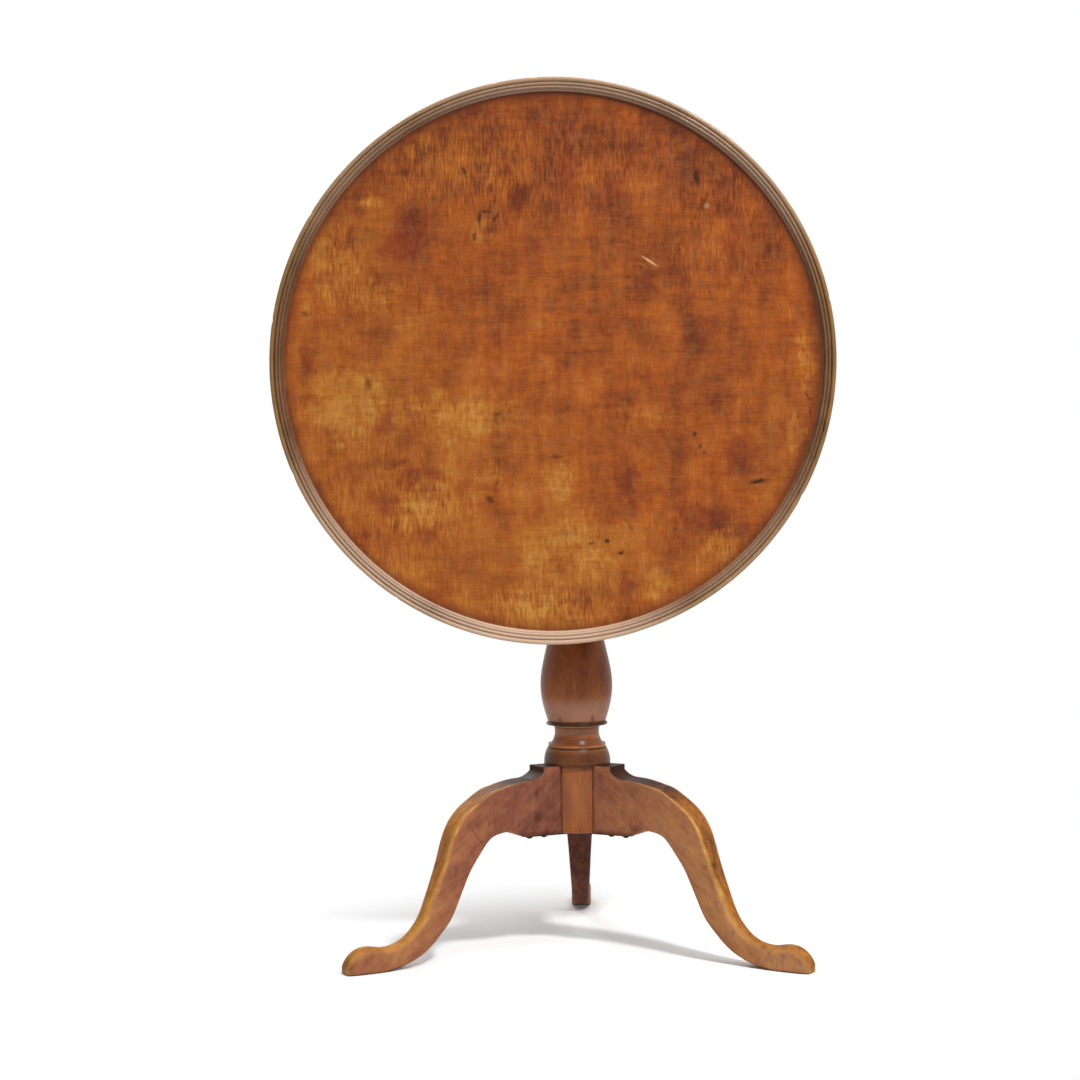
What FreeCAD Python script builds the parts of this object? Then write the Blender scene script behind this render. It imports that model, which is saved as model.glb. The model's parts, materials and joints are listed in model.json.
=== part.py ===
"""Tray top tea table: a round dished top that tilts on a block, over a turned column with three legs.

Millimetres. The origin is on the floor under the column's axis, +Z up, and the dished face of the
tilted top looks along -Y. The top and all that is fixed to it are drawn lowered, as the table is used,
and then turned up about the pintles, which is how the table stands at rest.
"""
import FreeCAD
import Part

import os
from math import cos, radians, sin, sqrt
from typing import NamedTuple

from FreeCAD import Vector

# Overall sizes
TABLE_HEIGHT = 713.0            # rim above the floor, top lowered
TOP_DIAMETER = 700.0
TOP_SIDE_OFFSET = 24.5          # the top's centre stands this far to the left of the column
LEG_REACH = 327.5               # column's axis to the tip of a toe

# Clearances
SWING_CLEARANCE = 0.3           # block to the underside of the top, through the whole swing
BATTEN_CLEARANCE = 0.5          # block's sides to the battens
PINTLE_CLEARANCE = 0.08         # on the radius
JOINT_CLEARANCE = 0.1           # glued joints, nails and screws
SLIDE_CLEARANCE = 0.3           # latch bolt in its guides, in the strike and against its spring

# Dished top and its moulded rim, read inwards from the edge
RIM_THICKNESS = 22.0
FIELD_THICKNESS = 14.0
OUTER_BEAD_WIDTH = 5.6
MIDDLE_BEAD_WIDTH = 3.6
INNER_BEAD_WIDTH = 3.0
MIDDLE_BEAD_DROP = 0.8          # below the outer bead
INNER_BEAD_DROP = 2.0
QUIRK_WIDTH = 0.7               # the sunk line beside each bead
QUIRK_DEPTH = 0.5
COVE_WIDTH = 4.6                # hollow between the inner bead and the field
COVE_SAG = 1.1
UNDERSIDE_BEVEL_WIDTH = 30.0
UNDERSIDE_BEVEL_RISE = 7.0
EDGE_ROUND = 3.0

# Battens under the top
BATTEN_WIDTH = 32.0
BATTEN_DEPTH = 34.0
BATTEN_END_DEPTH = 11.0
BATTEN_TAPER_LENGTH = 120.0
BATTEN_END_MARGIN = 47.0        # end of a batten to the edge of the top
BATTEN_END_ROUND = 5.0
BATTEN_END_SCREW_INSET = 40.0
BATTEN_SCREW_LEAD = 42.0        # pintle to the first inner screw behind it
BATTEN_SCREW_PITCH = 88.0       # first inner screw to the second

# Tilt block and its pintles
BLOCK_WIDTH = 150.0
BLOCK_FRONT_REACH = 89.0        # column's axis to the front face
BLOCK_REAR_REACH = 83.0
BLOCK_THICKNESS = 40.0
BLOCK_CHAMFER = 9.0             # along the lower edges
PINTLE_DIAMETER = 22.0
PINTLE_DEPTH = 17.0             # pintle's axis below the block's top, and behind its front
PINTLE_SETBACK = 1.5            # pintle's end inside the batten's outer face

# Turned column, read upwards from the foot
BASE_RADIUS = 38.0
BASE_EDGE_ROUND = 4.5
BULB_RADIUS = 42.7
BULB_TOP_RADIUS = 37.8
BULB_HEIGHT = 21.5
BULB_SWELL = 1.5
BAND_RADIUS = 36.8              # flat band over the bulb
BAND_HEIGHT = 5.0
HOLLOW_FOOT_RADIUS = 33.6
HOLLOW_EDGE_RADIUS = 30.2
HOLLOW_SAG = 3.3                # depth of the hollow below the line between its ends
HOLLOW_HEIGHT = 23.8
COLLAR_RADIUS = 39.5
COLLAR_HEIGHT = 3.6
COLLAR_NOSE = 1.7               # how far the collar's edge is rounded out
VASE_FOOT_RADIUS = 36.8
VASE_RADIUS = 46.3
VASE_RISE = 47.2                # collar to the widest part
NECK_RADIUS = 23.0
NECK_DROP = 116.0               # block to the narrowest part
SHAFT_TOP_RADIUS = 25.5
ASTRAGAL_RADIUS = 31.0
ASTRAGAL_HEIGHT = 7.0
ASTRAGAL_DROP = 36.0            # block to the bottom of the astragal
CAP_RADIUS = 38.0
CAP_EDGE_RADIUS = 34.5          # where the cap's hollow ends
CAP_HEIGHT = 8.0
CAP_NECK_RADIUS = 26.5
CAP_HOLLOW = 2.6
TENON_DIAMETER = 38.0
TENON_SETBACK = 0.6             # tenon's end below the block's top
WEDGE_THICKNESS = 4.0
WEDGE_TIP_THICKNESS = 1.2
WEDGE_LENGTH = 30.0

# Pulls of the column's long curves, as shares of each curve's own length
VASE_FOOT_PULL = 0.34
VASE_FOOT_FLARE = 0.55          # share of the swell gained over that pull
VASE_BELLY_PULL = 0.36
VASE_SHOULDER_PULL = 0.21
NECK_LOWER_PULL = 0.66
NECK_UPPER_PULL = 0.45

# Legs: the shoulder against the column
LEG_TOP = 236.0
LEG_ROOT_DEPTH = 86.0
LEG_THICKNESS = 38.0
SHOULDER_LENGTH = 26.5          # flat on top of the leg, before the step
STEP_DROP = 6.5
STEP_COVE_RUN = 22.0
STEP_COVE_DROP = 9.2
STEP_COVE_SAG = 2.6
KNEE_START = 85.0               # column's face to the section where the leg begins to bend
KNEE_START_DROP = 22.5
KNEE_CROWN = 1.1
BRACKET_LENGTH = 50.0           # flat under the shoulder, where the iron brace lies
CUSP_SETBACK = 8.5              # cusp under the knee, back from where the bend begins
CUSP_RISE = 8.8
CUSP_ROUND = 1.5
LEG_ARRIS = 1.0
DOVETAIL_NECK = 15.0
DOVETAIL_FLARE = 3.0            # on each side
DOVETAIL_DEPTH = 13.0
DOVETAIL_STOP = 14.0            # top of the dovetail below the top of the leg


class LegSection(NamedTuple):
    """One section through the curved limb of a leg, in percent of the limb's own sizes."""

    outer: tuple                # its outer face, along the limb's run and up its rise
    inner: tuple                # its inner face
    width: float                # of the leg's thickness, as the two rounds are
    outer_round: float
    inner_round: float


# The limb runs from the knee to the tip of the toe, and rises from the floor to the top of the knee.
# Its sole runs below the floor and is planed off level.
LIMB_SECTIONS = (
    LegSection((12.6, 95.0), (6.6, 71.9), 100.0, 8.5, 5.3),
    LegSection((24.3, 86.6), (12.0, 66.6), 98.4, 11.5, 6.6),
    LegSection((32.2, 75.4), (16.2, 60.6), 94.5, 13.5, 7.9),
    LegSection((37.2, 61.8), (20.6, 53.6), 89.0, 17.0, 9.2),
    LegSection((42.2, 49.0), (24.4, 45.0), 82.0, 21.5, 11.8),
    LegSection((47.6, 36.6), (28.8, 34.2), 75.5, 26.0, 14.5),
    LegSection((52.2, 27.6), (33.3, 24.8), 70.0, 28.5, 17.1),
    LegSection((57.2, 21.4), (38.9, 17.8), 66.5, 28.5, 19.7),
    LegSection((62.6, 16.8), (45.4, 11.2), 65.0, 28.0, 19.7),
    LegSection((68.6, 14.2), (52.8, 6.2), 65.8, 28.0, 18.4),
    LegSection((75.0, 13.3), (62.5, 2.4), 68.4, 28.5, 14.5),
    LegSection((81.6, 14.2), (75.5, -0.3), 71.6, 30.0, 7.9),
    LegSection((87.7, 14.7), (86.6, -0.5), 72.4, 31.0, 7.9),
    LegSection((93.9, 12.8), (94.3, -0.5), 67.1, 29.0, 7.9),
    LegSection((98.1, 9.1), (98.1, -0.5), 56.6, 24.0, 7.9),
    LegSection((100.0, 6.1), (99.8, -0.5), 42.1, 15.8, 6.6),
)
ROUND_LIMIT = 0.45              # most of a section's side that one rounded corner may take

# Iron brace nailed under the column and the legs
BRACE_THICKNESS = 2.6
BRACE_HUB_RADIUS = 19.0
BRACE_ARM_ROOT_WIDTH = 24.0
BRACE_ARM_END_WIDTH = 15.0
BRACE_REACH = 74.0              # axis to the centre of an arm's round end
INNER_NAIL_RADIUS = 50.0
OUTER_NAIL_INSET = 3.0          # from the centre of an arm's round end
NAIL_HEAD_RADIUS = 5.0
NAIL_HEAD_HEIGHT = 3.4
NAIL_HEAD_SWELL = 0.9
NAIL_SHANK_RADIUS = 1.7
NAIL_LENGTH = 24.0
NAIL_POINT_LENGTH = 5.0

# Wood screws
BATTEN_SCREW_HEAD_RADIUS = 4.5
BATTEN_SCREW_HEAD_DEPTH = 3.0
BATTEN_SCREW_SHANK_RADIUS = 2.2
BATTEN_SCREW_SEAT = 8.0         # wood left above a screw's head
BATTEN_SCREW_BITE = 9.0         # into the top
PLATE_SCREW_HEAD_RADIUS = 2.7
PLATE_SCREW_HEAD_DEPTH = 1.2
PLATE_SCREW_SHANK_RADIUS = 1.5
PLATE_SCREW_LENGTH = 11.0
SLOT_WIDTH = 0.8
SLOT_DEPTH = 0.6

# Spring latch under the top, behind the block
LATCH_STANDOFF = 5.0            # block's rear face to the plate
LATCH_PLATE_LENGTH = 70.0
LATCH_PLATE_WIDTH = 36.0
LATCH_PLATE_THICKNESS = 2.0
LATCH_PLATE_ROUND = 5.0
LATCH_SCREW_SIDE = 4.0          # screws from the plate's sides
LATCH_SCREW_FRONT = 13.0        # front pair from the plate's front edge
LATCH_SCREW_REAR = 6.0          # rear pair from the plate's rear edge
GUIDE_LENGTH = 6.0
GUIDE_WALL = 2.5
GUIDE_INSET = 2.0               # front guide behind the plate's front edge
GUIDE_SPACING = 36.0
BOLT_WIDTH = 16.0
BOLT_DEPTH = 7.0
BOLT_DROP = 6.5                 # underside of the top to the bolt
BOLT_REACH = 6.0                # into the strike
BOLT_TAIL = 6.0                 # behind the rear guide
BOLT_BEVEL_LENGTH = 5.5
BOLT_NOSE_DEPTH = 2.0
KNOB_INSET = 12.0               # knob's axis behind the front guide
KNOB_RADIUS = 7.5
KNOB_HEIGHT = 11.0
KNOB_EDGE_HEIGHT = 5.5          # widest part, from the end of the stem
KNOB_CROWN_SWELL = 1.7
KNOB_SHOULDER_SWELL = 1.2
KNOB_STEM_RADIUS = 3.0
KNOB_STEM_LENGTH = 6.0
KNOB_SPIGOT_RADIUS = 2.2
KNOB_SPIGOT_LENGTH = 5.0
SPRING_THICKNESS = 0.8
SPRING_WIDTH = 10.0
SPRING_FOOT_LENGTH = 11.0
SPRING_SCREW_INSET = 4.5        # from the end of the spring's foot
SPRING_HEEL_RADIUS = 2.2
SPRING_TIP_RADIUS = 3.0
SPRING_LEAN = 30.0              # degrees, from square to the plate
STRIKE_WIDTH = 46.0
STRIKE_HEIGHT = 16.0
STRIKE_THICKNESS = 1.6
STRIKE_SCREW_INSET = 7.5        # from the plate's ends
MORTISE_SPARE = 2.5             # beyond the bolt's nose

# Places that follow from the sizes
TOP_RADIUS = TOP_DIAMETER / 2
UNDERSIDE_Z = TABLE_HEIGHT - RIM_THICKNESS
BLOCK_TOP_Z = UNDERSIDE_Z - SWING_CLEARANCE
BLOCK_BOTTOM_Z = BLOCK_TOP_Z - BLOCK_THICKNESS
PINTLE_Y = PINTLE_DEPTH - BLOCK_FRONT_REACH
PINTLE_Z = BLOCK_TOP_Z - PINTLE_DEPTH
BATTEN_X = BLOCK_WIDTH / 2 + BATTEN_CLEARANCE + BATTEN_WIDTH / 2
BATTEN_OUTER_X = BATTEN_X + BATTEN_WIDTH / 2
LEG_BOTTOM = LEG_TOP - LEG_ROOT_DEPTH
FLAT_RADIUS = sqrt(BASE_RADIUS**2 - (LEG_THICKNESS / 2) ** 2)
LEG_FACE = FLAT_RADIUS + JOINT_CLEARANCE
LEG_NAMES = ("rear_leg", "left_leg", "right_leg")
LEG_ANGLES = {name: 90 + 360 * index / len(LEG_NAMES) for index, name in enumerate(LEG_NAMES)}
OUTER_NAIL_RADIUS = BRACE_REACH - OUTER_NAIL_INSET
PLATE_FACE_Z = UNDERSIDE_Z - LATCH_PLATE_THICKNESS
LATCH_FRONT_Y = BLOCK_REAR_REACH + LATCH_STANDOFF
LATCH_REAR_Y = LATCH_FRONT_Y + LATCH_PLATE_LENGTH
FRONT_GUIDE_Y = LATCH_FRONT_Y + GUIDE_INSET
REAR_GUIDE_Y = FRONT_GUIDE_Y + GUIDE_SPACING
KNOB_Y = FRONT_GUIDE_Y + GUIDE_LENGTH + KNOB_INSET
BOLT_NOSE_Y = BLOCK_REAR_REACH - BOLT_REACH
BOLT_TAIL_Y = REAR_GUIDE_Y + GUIDE_LENGTH + BOLT_TAIL
BOLT_TOP_Z = UNDERSIDE_Z - BOLT_DROP
BOLT_MID_Z = BOLT_TOP_Z - BOLT_DEPTH / 2
BOLT_BOTTOM_Z = BOLT_TOP_Z - BOLT_DEPTH

QUARTER_SAG = 1 - sqrt(0.5)     # how far a quarter circle of radius 1 stands off its chord
PERCENT = 100
THROUGH = 1.0                   # how far a cut runs past the face that it opens
ORIGIN = Vector(0, 0, 0)
ACROSS = Vector(1, 0, 0)
UP = Vector(0, 0, 1)


class Outline:
    """A closed outline in the X-Z plane, drawn anticlockwise edge by edge."""

    def __init__(self, x, z):
        self.start = self.here = Vector(x, 0, z)
        self.edges = []

    def add(self, curve, end):
        """Add one edge that ends at a point."""
        self.edges.append(curve.toShape())
        self.here = end
        return self

    def line(self, x, z):
        """Draw a straight edge to (x, z)."""
        end = Vector(x, 0, z)
        return self.add(Part.LineSegment(self.here, end), end)

    def arc(self, x, z, swell):
        """Draw an arc to (x, z) that stands out of the outline by swell, or into it if that is negative."""
        end = Vector(x, 0, z)
        way = end - self.here
        outward = Vector(way.z, 0, -way.x).normalize()
        middle = (self.here + end) * 0.5 + outward * swell
        return self.add(Part.Arc(self.here, middle, end), end)

    def curve(self, first, second, x, z):
        """Draw a cubic curve to (x, z), pulled towards two points."""
        end = Vector(x, 0, z)
        bezier = Part.BezierCurve()
        bezier.setPoles([self.here, Vector(first[0], 0, first[1]), Vector(second[0], 0, second[1]), end])
        return self.add(bezier, end)

    def face(self):
        """Close the outline and fill it."""
        if (self.here - self.start).Length > 1e-6:
            self.line(self.start.x, self.start.z)
        return Part.Face(Part.Wire(self.edges))

    def turned(self):
        """Turn the outline about the Z axis."""
        return self.face().revolve(ORIGIN, UP, 360)

    def sawn(self, thickness):
        """Give the outline a thickness, half to each side of the X-Z plane."""
        return self.face().extrude(Vector(0, thickness, 0)).translated(Vector(0, -thickness / 2, 0))

    def sawn_across(self, thickness):
        """Give the outline a thickness along X, with the outline's own X along +Y."""
        solid = self.sawn(thickness)
        solid.rotate(ORIGIN, UP, 90)
        return solid


def box(low, high):
    """A box between two corners."""
    size = Vector(*high) - Vector(*low)
    return Part.makeBox(size.x, size.y, size.z, Vector(*low))


def turned_up(shape):
    """Turn a shape drawn on the lowered top up to the rest position, about the pintles."""
    moved = shape.copy()
    moved.rotate(Vector(0, PINTLE_Y, PINTLE_Z), ACROSS, 90)
    return moved


def at_places(shape, places):
    """Copies of a shape, one at each place."""
    return [shape.translated(Vector(*place)) for place in places]


def wood_screw(head_radius, head_depth, shank_radius, length, spare=0.0):
    """A countersunk screw along +Z with the face of its head at Z = 0, or its hole where spare is given."""
    outline = Outline(0, 0)
    outline.line(head_radius + spare, 0)
    outline.line(shank_radius + spare, head_depth)
    outline.line(shank_radius + spare, length - shank_radius)
    outline.line(0, length + spare)
    screw = outline.turned()
    if spare:
        return screw
    reach = head_radius + THROUGH
    return screw.cut(box((-reach, -SLOT_WIDTH / 2, -THROUGH), (reach, SLOT_WIDTH / 2, SLOT_DEPTH)))


def batten_screw(spare=0.0):
    """A batten screw, or its hole."""
    length = BATTEN_SCREW_HEAD_DEPTH + BATTEN_SCREW_SEAT + BATTEN_SCREW_BITE
    return wood_screw(
        BATTEN_SCREW_HEAD_RADIUS, BATTEN_SCREW_HEAD_DEPTH, BATTEN_SCREW_SHANK_RADIUS, length, spare
    )


def plate_screw(spare=0.0):
    """A screw for the latch and the strike, or its hole."""
    return wood_screw(
        PLATE_SCREW_HEAD_RADIUS, PLATE_SCREW_HEAD_DEPTH, PLATE_SCREW_SHANK_RADIUS, PLATE_SCREW_LENGTH, spare
    )


def batten_half_length():
    """Half the length of a batten, whose outer corner keeps its margin to the edge of the top."""
    furthest = BATTEN_OUTER_X + TOP_SIDE_OFFSET
    return sqrt((TOP_RADIUS - BATTEN_END_MARGIN) ** 2 - furthest**2)


def batten_screw_places(side):
    """Where the screw heads of one batten lie."""
    end = batten_half_length() - BATTEN_END_SCREW_INSET
    first = PINTLE_Y + BATTEN_SCREW_LEAD
    z = UNDERSIDE_Z - BATTEN_SCREW_SEAT - BATTEN_SCREW_HEAD_DEPTH
    return [(side * BATTEN_X, y, z) for y in (-end, first, first + BATTEN_SCREW_PITCH, end)]


def all_batten_screws(spare=0.0):
    """Every batten screw, or its hole."""
    return at_places(batten_screw(spare), batten_screw_places(-1) + batten_screw_places(1))


def spring_line():
    """The latch spring's middle line, seen from the side, as points at the ends and middles of its stretches.

    The foot lies on the plate, the heel bends away from it, and the tip curls round to meet the bolt's tail.
    """
    lean = radians(SPRING_LEAN)
    foot_drop = LATCH_PLATE_THICKNESS + SPRING_THICKNESS / 2
    tip_y = BOLT_TAIL_Y + SLIDE_CLEARANCE + SPRING_THICKNESS / 2 + SPRING_TIP_RADIUS
    tip_drop = BOLT_DROP + BOLT_DEPTH / 2
    blade_end = Vector(tip_y - SPRING_TIP_RADIUS * cos(lean), 0, tip_drop - SPRING_TIP_RADIUS * sin(lean))
    blade_start_drop = foot_drop + SPRING_HEEL_RADIUS * (1 - sin(lean))
    blade_run = (blade_end.z - blade_start_drop) * sin(lean) / cos(lean)
    blade_start = Vector(blade_end.x + blade_run, 0, blade_start_drop)
    heel_y = blade_start.x + SPRING_HEEL_RADIUS * cos(lean)
    heel_turn = (radians(90) - lean) / 2
    heel_middle = Vector(
        heel_y - SPRING_HEEL_RADIUS * sin(heel_turn), 0, foot_drop + SPRING_HEEL_RADIUS * (1 - cos(heel_turn))
    )
    return {
        "foot": Vector(heel_y + SPRING_FOOT_LENGTH, 0, foot_drop),
        "heel": Vector(heel_y, 0, foot_drop),
        "heel_middle": heel_middle,
        "blade_start": blade_start,
        "blade_end": blade_end,
        "tip_middle": Vector(tip_y - SPRING_TIP_RADIUS, 0, tip_drop),
        "tip": Vector(blade_end.x, 0, tip_drop + SPRING_TIP_RADIUS * sin(lean)),
    }


def all_latch_screws(spare=0.0):
    """The latch plate's screws and the one in the spring's foot, or their holes."""
    side = LATCH_PLATE_WIDTH / 2 - LATCH_SCREW_SIDE
    rows = (LATCH_FRONT_Y + LATCH_SCREW_FRONT, LATCH_REAR_Y - LATCH_SCREW_REAR)
    places = [(x, y, PLATE_FACE_Z) for x in (-side, side) for y in rows]
    foot_y = spring_line()["foot"].x - SPRING_SCREW_INSET
    places.append((0, foot_y, PLATE_FACE_Z - SPRING_THICKNESS))
    return at_places(plate_screw(spare), places)


def all_strike_screws(spare=0.0):
    """The strike plate's screws, or their holes."""
    screw = plate_screw(spare)
    screw.rotate(ORIGIN, ACROSS, 90)
    side = STRIKE_WIDTH / 2 - STRIKE_SCREW_INSET
    return at_places(screw, [(x, BLOCK_REAR_REACH, BOLT_MID_Z) for x in (-side, side)])


def tray_top():
    """The dished top: one turned board with a moulded rim and a bevelled underside."""
    edge = Outline(0, 0)
    edge.line(TOP_RADIUS - UNDERSIDE_BEVEL_WIDTH, 0)
    edge.line(TOP_RADIUS - EDGE_ROUND, UNDERSIDE_BEVEL_RISE)
    edge.arc(TOP_RADIUS, UNDERSIDE_BEVEL_RISE + EDGE_ROUND, EDGE_ROUND * QUARTER_SAG)
    radius = TOP_RADIUS
    for width, drop in (
        (OUTER_BEAD_WIDTH, 0.0),
        (MIDDLE_BEAD_WIDTH, MIDDLE_BEAD_DROP),
        (INNER_BEAD_WIDTH, INNER_BEAD_DROP),
    ):
        foot = RIM_THICKNESS - drop - width / 2
        edge.line(radius, foot)
        edge.arc(radius - width, foot, width / 2)
        edge.line(radius - width, foot - QUIRK_DEPTH)
        radius -= width + QUIRK_WIDTH
        edge.line(radius, foot - QUIRK_DEPTH)
    edge.arc(radius - COVE_WIDTH, FIELD_THICKNESS, -COVE_SAG)
    edge.line(0, FIELD_THICKNESS)
    top = edge.turned().translated(Vector(-TOP_SIDE_OFFSET, 0, UNDERSIDE_Z))
    return turned_up(top.cut(all_batten_screws(JOINT_CLEARANCE) + all_latch_screws(JOINT_CLEARANCE)))


def batten(side):
    """The batten on one side of the block: tapered to its ends, bored for the pintle and for its screws."""
    half = batten_half_length()
    outline = Outline(-half, 0)
    outline.line(-half, BATTEN_END_ROUND - BATTEN_END_DEPTH)
    outline.arc(BATTEN_END_ROUND - half, -BATTEN_END_DEPTH, BATTEN_END_ROUND * QUARTER_SAG)
    outline.line(BATTEN_TAPER_LENGTH - half, -BATTEN_DEPTH)
    outline.line(half - BATTEN_TAPER_LENGTH, -BATTEN_DEPTH)
    outline.line(half - BATTEN_END_ROUND, -BATTEN_END_DEPTH)
    outline.arc(half, BATTEN_END_ROUND - BATTEN_END_DEPTH, BATTEN_END_ROUND * QUARTER_SAG)
    outline.line(half, 0)
    bar = outline.sawn_across(BATTEN_WIDTH).translated(Vector(side * BATTEN_X, 0, UNDERSIDE_Z))
    bore = Part.makeCylinder(
        PINTLE_DIAMETER / 2 + PINTLE_CLEARANCE,
        2 * BATTEN_WIDTH,
        Vector(side * BATTEN_X - BATTEN_WIDTH, PINTLE_Y, PINTLE_Z),
        ACROSS,
    )
    places = batten_screw_places(side)
    well_radius = BATTEN_SCREW_HEAD_RADIUS + JOINT_CLEARANCE
    well = Part.makeCylinder(well_radius, BATTEN_DEPTH, Vector(0, 0, -BATTEN_DEPTH))
    holes = at_places(batten_screw(JOINT_CLEARANCE).fuse(well), places)
    return turned_up(bar.cut([bore] + holes))


def bolt_hole():
    """The mortise that takes the latch bolt's nose."""
    side = BOLT_WIDTH / 2 + SLIDE_CLEARANCE
    return box(
        (-side, BOLT_NOSE_Y - MORTISE_SPARE, BOLT_BOTTOM_Z - SLIDE_CLEARANCE),
        (side, BLOCK_REAR_REACH + THROUGH, BOLT_TOP_Z + SLIDE_CLEARANCE),
    )


def strike_blank(spare=0.0):
    """The strike plate without its holes, or the recess that it is let into."""
    side = STRIKE_WIDTH / 2 + spare
    half = STRIKE_HEIGHT / 2 + spare
    proud = THROUGH if spare else 0.0
    return box(
        (-side, BLOCK_REAR_REACH - STRIKE_THICKNESS, BOLT_MID_Z - half),
        (side, BLOCK_REAR_REACH + proud, BOLT_MID_Z + half),
    )


def tilt_block():
    """The block on the column's tenon, with its pintles. Its front edge is round to let the top swing."""
    outline = Outline(-BLOCK_FRONT_REACH, BLOCK_BOTTOM_Z)
    outline.line(BLOCK_REAR_REACH - BLOCK_CHAMFER, BLOCK_BOTTOM_Z)
    outline.line(BLOCK_REAR_REACH, BLOCK_BOTTOM_Z + BLOCK_CHAMFER)
    outline.line(BLOCK_REAR_REACH, BLOCK_TOP_Z)
    outline.line(PINTLE_Y, BLOCK_TOP_Z)
    outline.arc(-BLOCK_FRONT_REACH, PINTLE_Z, PINTLE_DEPTH * QUARTER_SAG)
    block = outline.sawn_across(BLOCK_WIDTH)
    side = BLOCK_WIDTH / 2
    ends = Outline(BLOCK_CHAMFER - side, BLOCK_BOTTOM_Z)
    ends.line(side - BLOCK_CHAMFER, BLOCK_BOTTOM_Z)
    ends.line(side, BLOCK_BOTTOM_Z + BLOCK_CHAMFER)
    ends.line(side, BLOCK_TOP_Z)
    ends.line(-side, BLOCK_TOP_Z)
    ends.line(-side, BLOCK_BOTTOM_Z + BLOCK_CHAMFER)
    block = block.common(ends.sawn(2 * (BLOCK_FRONT_REACH + BLOCK_REAR_REACH)))
    reach = BATTEN_OUTER_X - PINTLE_SETBACK
    pintles = Part.makeCylinder(PINTLE_DIAMETER / 2, 2 * reach, Vector(-reach, PINTLE_Y, PINTLE_Z), ACROSS)
    tenon_hole = Part.makeCylinder(
        TENON_DIAMETER / 2 + JOINT_CLEARANCE,
        BLOCK_THICKNESS + 2 * THROUGH,
        Vector(0, 0, BLOCK_BOTTOM_Z - THROUGH),
    )
    cuts = [tenon_hole, bolt_hole(), strike_blank(JOINT_CLEARANCE)] + all_strike_screws(JOINT_CLEARANCE)
    return block.fuse(pintles).cut(cuts)


def wedge_blank(spare=0.0):
    """The wedge in the column's tenon before it is trimmed round, or its cut."""
    top = BLOCK_TOP_Z - TENON_SETBACK
    half = WEDGE_THICKNESS / 2 + spare
    tip = WEDGE_TIP_THICKNESS / 2 + spare
    outline = Outline(-half, top)
    outline.line(-tip, top - WEDGE_LENGTH - spare)
    outline.line(tip, top - WEDGE_LENGTH - spare)
    outline.line(half, top)
    return outline.sawn_across(TENON_DIAMETER + 2 * THROUGH)


def tenon_wedge():
    """The wedge that spreads the tenon, trimmed to its round."""
    tenon = Part.makeCylinder(TENON_DIAMETER / 2, BLOCK_THICKNESS, Vector(0, 0, BLOCK_BOTTOM_Z))
    return wedge_blank().common(tenon)


def dovetail(spare=0.0):
    """The tenon of the leg that points along +X, or its socket, which opens at the foot of the column."""
    neck = DOVETAIL_NECK / 2 + spare
    tail = neck + DOVETAIL_FLARE
    inner = LEG_FACE - DOVETAIL_DEPTH - spare
    foot = LEG_BOTTOM - (THROUGH if spare else 0.0)
    outline = Outline(inner, -tail)
    outline.line(LEG_FACE + spare, -neck)
    outline.line(LEG_FACE + spare, neck)
    outline.line(inner, tail)
    height = LEG_TOP - DOVETAIL_STOP + spare - foot
    tenon = outline.face().extrude(Vector(0, height, 0))
    tenon.rotate(ORIGIN, ACROSS, 90)
    return tenon.translated(Vector(0, 0, foot))


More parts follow.
